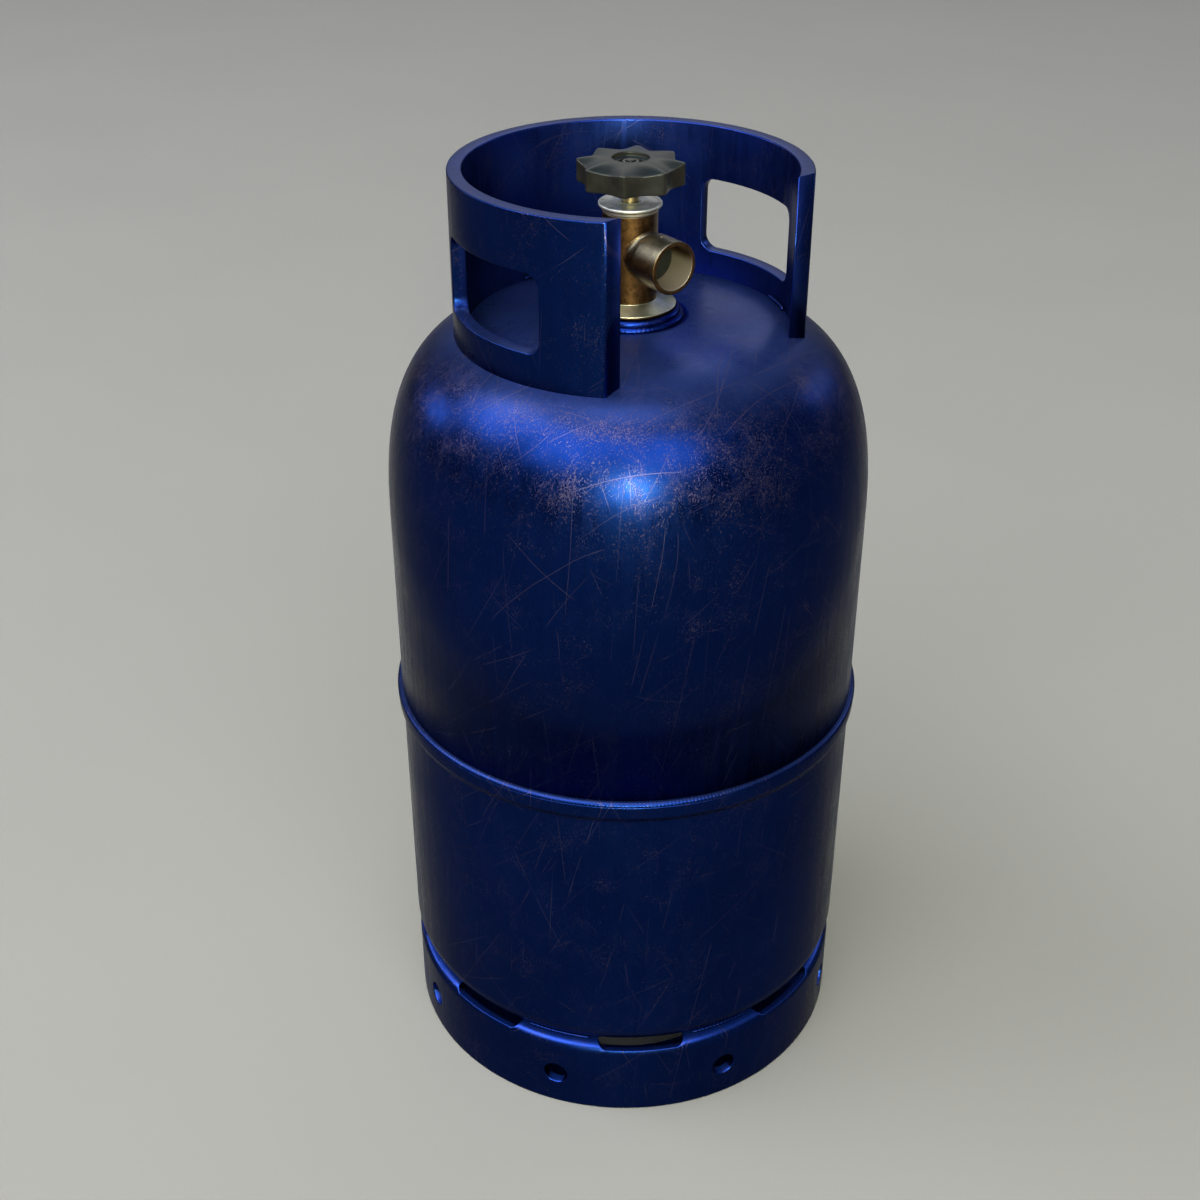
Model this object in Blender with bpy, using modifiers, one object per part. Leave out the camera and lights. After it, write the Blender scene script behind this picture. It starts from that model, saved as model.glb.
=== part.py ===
"""A refillable propane cylinder for a caravan locker, with its collar, foot ring and handwheel valve.

Metres, +Z up. The origin is the centre of the base, on the cylinder's axis. The outlet and the
open side of the collar face -Y. The valve is shut: the handwheel turns anticlockwise to open it.
"""

import math

import bmesh
import bpy
from mathutils import Matrix, Vector

# Clearances and mesh resolution
GAP = 0.0003
BIG_STEPS = 48
SMALL_STEPS = 24
CUT_MARGIN = 0.002

# Pressure vessel
BODY_RADIUS = 0.152
WALL = 0.0026
DOME_BASE_Z = 0.3907
DOME_RISE = 0.1301
DOME_POWER = 4.75
DOME_ROOT = 2.70
HEAD_BASE_Z = 0.0768
HEAD_KNUCKLE = 0.020
HEAD_CROWN = 0.300
LIP_TOP_Z = 0.2640
LIP_BASE_Z = 0.2505
LIP_STEP = 0.0033
LIP_SEAT_Z = 0.2578
SKIRT_FOOT_Z = 0.2583
GIRTH_WELD_RISE = 0.0025

# Valve boss in the top of the dome
BOSS_RADIUS = 0.03075
BOSS_TOP_Z = 0.5263
BOSS_NECK_RADIUS = 0.025
BOSS_NECK_DEPTH = 0.014
BOSS_BORE_TOP = 0.0130
BOSS_BORE_FOOT = 0.0122
BOSS_EDGE = 0.0018
BOSS_WELD_WIDTH = 0.0022

# Collar
COLLAR_RADIUS = 0.1065
COLLAR_WALL = 0.0088
COLLAR_TOP_Z = 0.6113
COLLAR_EDGE = 0.0016
COLLAR_FRONT_Y = -0.0768
HAND_HOLE_LOW_Z = 0.5310
HAND_HOLE_HIGH_Z = 0.5775
HAND_HOLE_HALF_ANGLE = math.radians(24.6)
HAND_HOLE_CORNER = 0.0075
HAND_HOLE_CUT_FROM = 0.080
HAND_HOLE_CUT_TO = 0.120
COLLAR_WELDS = (70, 125, 180, 235, 290)
COLLAR_WELD_SPAN = 14
COLLAR_WELD_INSET = 0.0020
COLLAR_WELD_LIFT = 0.0018

# Foot ring
FOOT_RADIUS = 0.1513
FOOT_WALL = 0.0060
FOOT_SHOULDER_Z = 0.0572
FOOT_SHOULDER_THICKNESS = 0.0030
FOOT_SHOULDER_EDGE = 0.1400
FOOT_BASE_EDGE = 0.0950
FOOT_BASE_THICKNESS = 0.0030
FOOT_ROUNDING = 0.0065
FOOT_INNER_ROUNDING = 0.0045
FOOT_BASE_ROUNDING = 0.0015
FOOT_DIVISIONS = 8
FOOT_HOLE_RADIUS = 0.0083
FOOT_HOLE_Z = 0.0264
FOOT_HOLE_START = -10
FOOT_WINDOW_START = 12.5
FOOT_WINDOW_WIDTH = 0.0570
FOOT_WINDOW_REACH = 0.1485
FOOT_WINDOW_FOOT_Z = 0.0500
FOOT_WINDOW_CORNER = 0.0080
FOOT_WELD_SPAN = 17
FOOT_WELD_REACH = 0.1442
WELD_BEAD = 0.0011

# Valve body
COLUMN_RADIUS = 0.0165
COLUMN_FOOT_Z = 0.5315
COLUMN_TOP_Z = 0.5847
FLANGE_RADIUS = 0.0281
FLANGE_TOP_Z = 0.5283
FLANGE_FOOT_Z = 0.5267
STEM_FOOT_Z = 0.5030
INLET_RADIUS = 0.0032
BONNET_BORE = 0.0120
BONNET_BORE_FOOT_Z = 0.5753
SHOULDER_BORE = 0.0086
SHOULDER_BORE_FOOT_Z = 0.5706
CHAMBER_RADIUS = 0.0073
CHAMBER_FOOT_Z = 0.5535
SEAT_Z = 0.5552
SEAT_RADIUS = 0.0050
OUTLET_Z = 0.5606
OUTLET_REACH = 0.0424
OUTLET_RADIUS = 0.01575
OUTLET_BORE = 0.0130
OUTLET_BORE_FOOT = 0.0220
OUTLET_NECK_RADIUS = 0.0122
OUTLET_NECK_REACH = 0.0195
OUTLET_BACK_ROUNDING = 0.0046
OUTLET_LIP = 0.0005
OUTLET_PASSAGE_Z = 0.5585
OUTLET_SEAL_THICKNESS = 0.0022

# Bonnet and moving pieces of the valve
BONNET_RADIUS = 0.0189
BONNET_EDGE_Z = 0.5865
BONNET_CROWN_Z = 0.5900
BONNET_SKIRT_FOOT_Z = 0.5756
SPINDLE_RADIUS = 0.0049
SPINDLE_BORE = 0.0052
O_RING_Z = 0.5802
O_RING_SECTION = 0.00075
O_RING_GROOVE_RADIUS = 0.0030
SPINDLE_STEP_Z = 0.5985
THRUST_WASHER_Z = 0.5743
THRUST_WASHER_THICKNESS = 0.0010
THRUST_WASHER_RADIUS = 0.0080
SPINDLE_SHOULDER_TOP_Z = 0.5740
SPINDLE_SHOULDER_FOOT_Z = 0.5710
SPINDLE_SHOULDER_RADIUS = 0.0075
TANG_FOOT_Z = 0.5638
TANG_WIDTH = 0.0024
TANG_LENGTH = 0.0090
TANG_CLEARANCE = 0.0003
PLUG_RADIUS = 0.0070
PLUG_TOP_Z = 0.5675
PLUG_FOOT_Z = 0.5581
PLUG_SLOT_FOOT_Z = 0.5602
SEAT_DISC_FOOT_Z = 0.5555
SEAT_DISC_RADIUS = 0.0060

# Handwheel
WHEEL_RADIUS = 0.0318
WHEEL_LOBES = 8
WHEEL_LOBE_DEPTH = 0.0046
WHEEL_LOBE_POWER = 1.6
WHEEL_FOOT_Z = 0.5990
WHEEL_EDGE_Z = 0.6130
WHEEL_CROWN_Z = 0.6156
WHEEL_CROWN_DROP = 0.0009
WHEEL_EDGE_BEVEL = 0.0015
WHEEL_POCKET_OUTER = 0.0232
WHEEL_POCKET_INNER = 0.0138
WHEEL_POCKET_Z = 0.6075
WHEEL_RECESS_RADIUS = 0.0109
WHEEL_RECESS_Z = 0.6128
WHEEL_COUNTERBORE_RADIUS = 0.0074
WHEEL_COUNTERBORE_Z = 0.6093
BUSH_RADIUS = 0.0090
BUSH_FOOT_Z = 0.5995
BUSH_TOP_Z = 0.6090
SQUARE_SIDE = 0.0065
NUT_FLATS = 0.0100
NUT_THICKNESS = 0.0029
THREAD_RADIUS = 0.0029
WHEEL_WASHER_RADIUS = 0.0062
WHEEL_WASHER_THICKNESS = 0.0010
SPINDLE_TOP_Z = 0.6142


def arc(centre_r, centre_z, radius, start, end, count):
    """Points of an arc in the (radius, height) plane; angles in degrees from outwards towards up."""
    angles = [math.radians(start + (end - start) * i / (count - 1)) for i in range(count)]
    return [(centre_r + radius * math.cos(a), centre_z + radius * math.sin(a)) for a in angles]


def dome_outline(radius, rise, hole_radius, count):
    """The dome's curve from its hole down to its rim, a superellipse around the axis."""
    first = math.asin((hole_radius / radius) ** (DOME_POWER / 2))
    points = []
    for i in range(count):
        theta = first + (math.pi / 2 - first) * i / (count - 1)
        reach = radius * math.sin(theta) ** (2 / DOME_POWER)
        height = rise * max(math.cos(theta), 0.0) ** (2 / DOME_ROOT)
        points.append((reach, DOME_BASE_Z + height))
    return points


def dome_height(reach):
    """Height of the dome's outer surface at this distance from the axis."""
    share = (reach / BODY_RADIUS) ** DOME_POWER
    return DOME_BASE_Z + DOME_RISE * (1 - share) ** (1 / DOME_ROOT)


def head_outline(offset, count):
    """The bottom head's curve from its tangent line down to the axis, moved inwards by offset."""
    knuckle = HEAD_KNUCKLE - offset
    crown = HEAD_CROWN - offset
    tilt = math.asin((BODY_RADIUS - HEAD_KNUCKLE) / (HEAD_CROWN - HEAD_KNUCKLE))
    knuckle_reach = BODY_RADIUS - HEAD_KNUCKLE
    crown_z = HEAD_BASE_Z + (HEAD_CROWN - HEAD_KNUCKLE) * math.cos(tilt)
    turn = math.degrees(tilt) - 90
    points = arc(knuckle_reach, HEAD_BASE_Z, knuckle, 0, turn, count)
    points += arc(0, crown_z, crown, turn, -90, count)[1:]
    points[-1] = (0.0, crown_z - crown)
    return points


def bead_outline(inside, low, width, rise):
    """A weld bead's section: upright inside, flat below, and rounded over its outer corner."""
    turns = [math.radians(30 * i) for i in range(4)]
    return [(inside + width * math.sin(a), low + rise * math.cos(a)) for a in turns] + [(inside, low)]


def material(name, colour, roughness, metallic):
    made = bpy.data.materials.new(name)
    made.use_nodes = True
    shader = made.node_tree.nodes["Principled BSDF"]
    shader.inputs["Base Color"].default_value = (*colour, 1.0)
    shader.inputs["Roughness"].default_value = roughness
    shader.inputs["Metallic"].default_value = metallic
    made.diffuse_color = (*colour, 1.0)
    return made


def add_object(name, mesh, collection):
    obj = bpy.data.objects.new(name, mesh)
    collection.objects.link(obj)
    return obj


def turned(name, profile, steps, collection, closed):
    """A shape turned about Z from a profile that runs down its outer side; closed joins its ends."""
    mesh = bpy.data.meshes.new(name)
    corners = [(reach, 0.0, height) for reach, height in profile]
    edges = [(i, i + 1) for i in range(len(corners) - 1)]
    if closed:
        edges.append((len(corners) - 1, 0))
    mesh.from_pydata(corners, edges, [])
    obj = add_object(name, mesh, collection)
    screw = obj.modifiers.new("turn", "SCREW")
    screw.axis = "Z"
    screw.steps = steps
    screw.render_steps = steps
    screw.use_merge_vertices = True
    screw.merge_threshold = 0.00001
    screw.use_smooth_shade = True
    return obj


def from_bmesh(name, shape, collection):
    bmesh.ops.recalc_face_normals(shape, faces=shape.faces)
    mesh = bpy.data.meshes.new(name)
    shape.to_mesh(mesh)
    shape.free()
    return add_object(name, mesh, collection)


def box(name, low, high, collection):
    """A box between two corners, with its object's origin at the middle of the box."""
    shape = bmesh.new()
    bmesh.ops.create_cube(shape, size=1.0)
    size = Vector(high) - Vector(low)
    bmesh.ops.scale(shape, vec=size, verts=shape.verts)
    obj = from_bmesh(name, shape, collection)
    obj.location = (Vector(low) + Vector(high)) / 2
    return obj


def cylinder(name, radius, low_z, high_z, sides, collection):
    """A cylinder along its own Z between two heights."""
    shape = bmesh.new()
    bmesh.ops.create_cone(
        shape,
        cap_ends=True,
        segments=sides,
        radius1=radius,
        radius2=radius,
        depth=high_z - low_z,
        matrix=Matrix.Translation((0, 0, (low_z + high_z) / 2)),
    )
    return from_bmesh(name, shape, collection)


def lengthwise_edges(shape, axis):
    """The edges that run mostly along one axis of the shape."""
    chosen = []
    for edge in shape.edges:
        run = edge.verts[1].co - edge.verts[0].co
        if abs(run[axis]) > 0.6 * run.length:
            chosen.append(edge)
    return chosen


def weld_bead(name, reach, height, centre, span, collection):
    """A short bead laid along an arc about the axis; angles in degrees from -Y towards +X."""
    count = 7
    curve = bpy.data.curves.new(name, "CURVE")
    curve.dimensions = "3D"
    curve.bevel_depth = WELD_BEAD
    curve.bevel_resolution = 1
    curve.use_fill_caps = True
    spline = curve.splines.new("POLY")
    spline.points.add(count - 1)
    for i, point in enumerate(spline.points):
        angle = math.radians(centre + span * (i / (count - 1) - 0.5))
        point.co = (reach * math.sin(angle), -reach * math.cos(angle), height, 1.0)
    return add_object(name, curve, collection)


def boolean(target, operation, tool):
    step = target.modifiers.new(f"{operation.lower()}_{tool.name}", "BOOLEAN")
    step.operation = operation
    step.solver = "EXACT"
    step.object = tool


def hide_cutter(obj):
    obj.hide_render = True
    obj.display_type = "WIRE"


def face_front(obj, height):
    """Lays an object built along its own Z towards -Y, at this height."""
    obj.matrix_world = Matrix.Translation((0, 0, height)) @ Matrix.Rotation(math.pi / 2, 4, "X")


def turn_about_axis(obj, degrees):
    """Turns an object built facing -Y about the cylinder's axis, towards +X."""
    obj.matrix_world = Matrix.Rotation(math.radians(degrees), 4, "Z") @ obj.matrix_basis


def finish(obj, paint, smooth_angle=35):
    """Gives a sub-part its material and smooth shading with crisp edges."""
    obj.data.materials.append(paint)
    if obj.type == "MESH" and obj.data.polygons:
        obj.data.shade_smooth()
        obj.data.set_sharp_from_angle(angle=math.radians(smooth_angle))


def make_upper_shell(parts):
    """The upper half: a domed top with the boss hole, and a skirt that enters the lower half's lip."""
    hole = BOSS_NECK_RADIUS + GAP
    outer = dome_outline(BODY_RADIUS, DOME_RISE, hole, 13)
    inner = dome_outline(BODY_RADIUS - WALL, DOME_RISE - WALL, hole, 9)
    profile = outer + [(BODY_RADIUS, SKIRT_FOOT_Z), (BODY_RADIUS - WALL, SKIRT_FOOT_Z)] + inner[::-1]
    shell = turned("upper_shell", profile, BIG_STEPS, parts, closed=True)
    finish(shell, material("blue_paint_upper", (0.010, 0.030, 0.170), 0.30, 0.80))


def make_lower_shell(parts):
    """The lower half: a bottom head, a straight wall and a flared lip around the upper half."""
    lip = BODY_RADIUS + LIP_STEP
    inside = BODY_RADIUS + GAP
    outer = [(lip, LIP_TOP_Z), (BODY_RADIUS, LIP_BASE_Z)] + head_outline(0.0, 6)
    inner = head_outline(WALL, 5)[::-1]
    inner += [(BODY_RADIUS - WALL, LIP_BASE_Z), (inside, LIP_SEAT_Z)]
    profile = outer + inner + [(inside, LIP_TOP_Z), (lip, LIP_TOP_Z)]
    shell = turned("lower_shell", profile, BIG_STEPS, parts, closed=False)
    finish(shell, material("blue_paint_lower", (0.010, 0.030, 0.170), 0.30, 0.80))


def make_girth_weld(parts):
    """The weld laid on the lip where the upper half enters it."""
    profile = bead_outline(BODY_RADIUS + GAP, LIP_TOP_Z + GAP, LIP_STEP - GAP, GIRTH_WELD_RISE)
    weld = turned("girth_weld", profile, BIG_STEPS, parts, closed=True)
    finish(weld, material("blue_paint_weld", (0.012, 0.040, 0.200), 0.35, 0.75))


def make_boss(parts):
    """The threaded boss that holds the valve, and the weld around it on the dome."""
    low = DOME_BASE_Z + DOME_RISE + GAP
    profile = [(BOSS_BORE_TOP, BOSS_TOP_Z)]
    profile += arc(BOSS_RADIUS - BOSS_EDGE, BOSS_TOP_Z - BOSS_EDGE, BOSS_EDGE, 90, 0, 4)
    profile += [
        (BOSS_RADIUS, low),
        (BOSS_NECK_RADIUS, low),
        (BOSS_NECK_RADIUS, BOSS_TOP_Z - BOSS_NECK_DEPTH),
        (BOSS_BORE_FOOT, BOSS_TOP_Z - BOSS_NECK_DEPTH),
    ]
    boss = turned("valve_boss", profile, SMALL_STEPS, parts, closed=True)
    finish(boss, material("blue_paint_boss", (0.012, 0.040, 0.200), 0.35, 0.75))
    profile = bead_outline(BOSS_RADIUS + GAP, low, BOSS_WELD_WIDTH, BOSS_WELD_WIDTH)
    weld = turned("boss_weld", profile, SMALL_STEPS, parts, closed=True)
    finish(weld, material("blue_paint_boss_weld", (0.012, 0.040, 0.200), 0.40, 0.70))


def hand_hole_cutter(name, side, cutters):
    """A wedge with radial sides and rounded corners, pointing along +X or -X."""
    shape = bmesh.new()
    bmesh.ops.create_cube(shape, size=1.0)
    for corner in shape.verts:
        reach = HAND_HOLE_CUT_TO if corner.co.x > 0 else HAND_HOLE_CUT_FROM
        spread = math.copysign(reach * math.tan(HAND_HOLE_HALF_ANGLE), corner.co.y)
        height = HAND_HOLE_HIGH_Z if corner.co.z > 0 else HAND_HOLE_LOW_Z
        corner.co = (side * reach, spread, height)
    edges = lengthwise_edges(shape, 0)
    bmesh.ops.bevel(shape, geom=edges, offset=HAND_HOLE_CORNER, segments=4, profile=0.5, affect="EDGES")
    cutter = from_bmesh(name, shape, cutters)
    hide_cutter(cutter)
    return cutter


def make_collar(parts, cutters):
    """The guard round the valve: a thick rolled wall, open at the front, with two hand holes."""
    inside = COLLAR_RADIUS - COLLAR_WALL
    low = dome_height(COLLAR_RADIUS) - CUT_MARGIN
    profile = arc(COLLAR_RADIUS - COLLAR_EDGE, COLLAR_TOP_Z - COLLAR_EDGE, COLLAR_EDGE, 90, 0, 4)
    profile += [(COLLAR_RADIUS, low), (inside, low)]
    profile += arc(inside + COLLAR_EDGE, COLLAR_TOP_Z - COLLAR_EDGE, COLLAR_EDGE, 180, 90, 4)
    collar = turned("collar", profile, BIG_STEPS, parts, closed=True)

    dome = dome_outline(BODY_RADIUS + GAP, DOME_RISE + GAP, BOSS_NECK_RADIUS, 13)
    profile = [(0.0, dome[0][1])] + dome + [(0.0, DOME_BASE_Z)]
    dome_cutter = turned("dome_clearance", profile, BIG_STEPS, cutters, closed=False)
    hide_cutter(dome_cutter)

    front_low = (-BODY_RADIUS, -BODY_RADIUS, low - CUT_MARGIN)
    front_high = (BODY_RADIUS, COLLAR_FRONT_Y, COLLAR_TOP_Z + CUT_MARGIN)
    front = box("collar_front", front_low, front_high, cutters)
    hide_cutter(front)

    boolean(collar, "DIFFERENCE", hand_hole_cutter("hand_hole_left", -1, cutters))
    boolean(collar, "DIFFERENCE", hand_hole_cutter("hand_hole_right", 1, cutters))
    boolean(collar, "DIFFERENCE", front)
    boolean(collar, "DIFFERENCE", dome_cutter)
    finish(collar, material("blue_paint_collar", (0.010, 0.030, 0.170), 0.32, 0.80))

    bead = material("blue_paint_collar_weld", (0.012, 0.040, 0.200), 0.40, 0.70)
    reach = inside - COLLAR_WELD_INSET
    height = dome_height(reach) + COLLAR_WELD_LIFT
    for number, angle in enumerate(COLLAR_WELDS, start=1):
        weld = weld_bead(f"collar_weld_{number}", reach, height, angle, COLLAR_WELD_SPAN, parts)
        finish(weld, bead)


def foot_ring_profile():
    inside = FOOT_RADIUS - FOOT_WALL
    shoulder_low = FOOT_SHOULDER_Z - FOOT_SHOULDER_THICKNESS
    rounding, inner_rounding, base_rounding = FOOT_ROUNDING, FOOT_INNER_ROUNDING, FOOT_BASE_ROUNDING
    profile = [(FOOT_SHOULDER_EDGE, FOOT_SHOULDER_Z)]
    profile += arc(FOOT_RADIUS - rounding, FOOT_SHOULDER_Z - rounding, rounding, 90, 0, 4)
    profile += arc(FOOT_RADIUS - base_rounding, base_rounding, base_rounding, 0, -90, 2)
    profile += [(FOOT_BASE_EDGE, 0.0), (FOOT_BASE_EDGE, FOOT_BASE_THICKNESS)]
    profile += [(inside, FOOT_BASE_THICKNESS)]
    profile += arc(inside - inner_rounding, shoulder_low - inner_rounding, inner_rounding, 0, 90, 3)
    profile += [(FOOT_SHOULDER_EDGE, shoulder_low)]
    return profile


def foot_hole_cutter(number, cutters):
    """A round cutter through the foot ring's wall."""
    start = FOOT_RADIUS - FOOT_WALL - CUT_MARGIN
    end = FOOT_RADIUS + CUT_MARGIN
    hole = cylinder(f"foot_hole_{number + 1}", FOOT_HOLE_RADIUS, start, end, 16, cutters)
    face_front(hole, FOOT_HOLE_Z)
    turn_about_axis(hole, FOOT_HOLE_START + number * 360 / FOOT_DIVISIONS)
    hide_cutter(hole)
    return hole


def foot_window_cutter(number, cutters):
    """An upright cutter through the foot ring's shoulder, open inwards and rounded at its outer corners."""
    shape = bmesh.new()
    bmesh.ops.create_cube(shape, size=1.0)
    outer_reach = -FOOT_WINDOW_REACH
    inner_reach = CUT_MARGIN - FOOT_SHOULDER_EDGE * math.cos(math.pi / FOOT_DIVISIONS)
    for corner in shape.verts:
        reach = outer_reach if corner.co.y < 0 else inner_reach
        height = FOOT_SHOULDER_Z + CUT_MARGIN if corner.co.z > 0 else FOOT_WINDOW_FOOT_Z
        corner.co = (math.copysign(FOOT_WINDOW_WIDTH / 2, corner.co.x), reach, height)
    outer_edges = [edge for edge in lengthwise_edges(shape, 2) if edge.verts[0].co.y < inner_reach - GAP]
    bmesh.ops.bevel(
        shape, geom=outer_edges, offset=FOOT_WINDOW_CORNER, segments=4, profile=0.5, affect="EDGES"
    )
    window = from_bmesh(f"foot_window_{number + 1}", shape, cutters)
    turn_about_axis(window, FOOT_WINDOW_START + number * 360 / FOOT_DIVISIONS)
    hide_cutter(window)
    return window


def make_foot_ring(parts, cutters):
    """The ring that the cylinder stands on, with drain holes in its wall and windows in its shoulder."""
    ring = turned("foot_ring", foot_ring_profile(), BIG_STEPS, parts, closed=True)
    for number in range(FOOT_DIVISIONS):
        boolean(ring, "DIFFERENCE", foot_hole_cutter(number, cutters))
        boolean(ring, "DIFFERENCE", foot_window_cutter(number, cutters))
    finish(ring, material("blue_paint_foot", (0.010, 0.030, 0.170), 0.32, 0.80))

    bead = material("blue_paint_foot_weld", (0.012, 0.040, 0.200), 0.40, 0.70)
    for number in range(FOOT_DIVISIONS):
        angle = FOOT_WINDOW_START + (number + 0.5) * 360 / FOOT_DIVISIONS
        height = FOOT_SHOULDER_Z + GAP + WELD_BEAD
        weld = weld_bead(f"foot_weld_{number + 1}", FOOT_WELD_REACH, height, angle, FOOT_WELD_SPAN, parts)
        finish(weld, bead)


def valve_body_outside():
    """The column, its sloped flange and the tapered stem that screws into the boss."""
    return [
        (0.0, COLUMN_TOP_Z),
        (COLUMN_RADIUS, COLUMN_TOP_Z),
        (COLUMN_RADIUS, COLUMN_FOOT_Z),
        (FLANGE_RADIUS, FLANGE_TOP_Z),
        (FLANGE_RADIUS, FLANGE_FOOT_Z),
        (BOSS_BORE_TOP - GAP, FLANGE_FOOT_Z),
        (BOSS_BORE_FOOT - 2 * GAP, STEM_FOOT_Z),
        (0.0, STEM_FOOT_Z),
    ]


def valve_body_inside():
    """The stepped bore: bonnet, spindle shoulder, plug chamber, raised seat and inlet."""
    return [
        (0.0, COLUMN_TOP_Z + CUT_MARGIN),
        (BONNET_BORE, COLUMN_TOP_Z + CUT_MARGIN),
        (BONNET_BORE, BONNET_BORE_FOOT_Z),
        (SHOULDER_BORE, BONNET_BORE_FOOT_Z),
        (SHOULDER_BORE, SHOULDER_BORE_FOOT_Z),
        (CHAMBER_RADIUS, SHOULDER_BORE_FOOT_Z),
        (CHAMBER_RADIUS, CHAMBER_FOOT_Z),
        (SEAT_RADIUS + GAP, CHAMBER_FOOT_Z),
        (SEAT_RADIUS, SEAT_Z),
        (INLET_RADIUS, SEAT_Z),
        (INLET_RADIUS, STEM_FOOT_Z - CUT_MARGIN),
        (0.0, STEM_FOOT_Z - CUT_MARGIN),
    ]


def outlet_profile():
    """The outlet barrel about its own axis: bore, mouth, plain tube, rounded back and narrower neck."""
    profile = [
        (0.0, OUTLET_BORE_FOOT),
        (OUTLET_BORE, OUTLET_BORE_FOOT),
        (OUTLET_BORE, OUTLET_REACH),
        (OUTLET_RADIUS - OUTLET_LIP, OUTLET_REACH),
        (OUTLET_RADIUS, OUTLET_REACH - OUTLET_LIP),
    ]
    back = OUTLET_NECK_REACH + OUTLET_BACK_ROUNDING
    profile += arc(OUTLET_RADIUS - OUTLET_BACK_ROUNDING, back, OUTLET_BACK_ROUNDING, 0, -62, 5)
    profile += [(OUTLET_NECK_RADIUS, OUTLET_NECK_REACH), (OUTLET_NECK_RADIUS, INLET_RADIUS)]
    profile += [(0.0, INLET_RADIUS)]
    return profile


def make_valve_body(parts, cutters):
    """The brass valve body: column, flange, stem and outlet in one forging, bored through."""
    body = turned("valve_body", valve_body_outside(), SMALL_STEPS, parts, closed=False)
    barrel = turned("outlet_barrel", outlet_profile(), SMALL_STEPS, cutters, closed=False)
    face_front(barrel, OUTLET_Z)
    passage_end = OUTLET_BORE_FOOT + CUT_MARGIN
    passage = cylinder("outlet_passage", INLET_RADIUS, SEAT_RADIUS, passage_end, 16, cutters)
    face_front(passage, OUTLET_PASSAGE_Z)
    chamber = turned("valve_chamber", valve_body_inside(), SMALL_STEPS, cutters, closed=False)
    turn_about_axis(chamber, 180 / SMALL_STEPS)
    for tool in (barrel, passage, chamber):
        hide_cutter(tool)
    boolean(body, "UNION", barrel)
    boolean(body, "DIFFERENCE", chamber)
    boolean(body, "DIFFERENCE", passage)
    finish(body, material("brass_body", (0.42, 0.27, 0.12), 0.38, 1.0))

    seal_low = OUTLET_BORE_FOOT + GAP
    seal_top = seal_low + OUTLET_SEAL_THICKNESS
    seal_hole = INLET_RADIUS + GAP
    seal_radius = OUTLET_BORE - 2 * GAP
    profile = [(seal_hole, seal_top), (seal_radius, seal_top), (seal_radius, seal_low), (seal_hole, seal_low)]
    seal = turned("outlet_seal", profile, SMALL_STEPS, parts, closed=True)
    face_front(seal, OUTLET_Z)
    finish(seal, material("seal_rubber", (0.06, 0.075, 0.09), 0.60, 0.0))


def make_bonnet(parts):
    """The bonnet screwed into the top of the column, bored for the spindle."""
    low = COLUMN_TOP_Z + GAP
    skirt = BONNET_BORE - GAP
    profile = [
        (SPINDLE_BORE, BONNET_CROWN_Z),
        (BONNET_RADIUS - GAP, BONNET_EDGE_Z),
        (BONNET_RADIUS, BONNET_EDGE_Z - GAP),
        (BONNET_RADIUS, low + GAP),
        (BONNET_RADIUS - GAP, low),
        (skirt, low),
        (skirt, BONNET_SKIRT_FOOT_Z),
        (SPINDLE_BORE, BONNET_SKIRT_FOOT_Z),
    ]
    bonnet = turned("bonnet", profile, SMALL_STEPS, parts, closed=True)
    finish(bonnet, material("brass_bonnet", (0.50, 0.45, 0.30), 0.35, 1.0))


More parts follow.
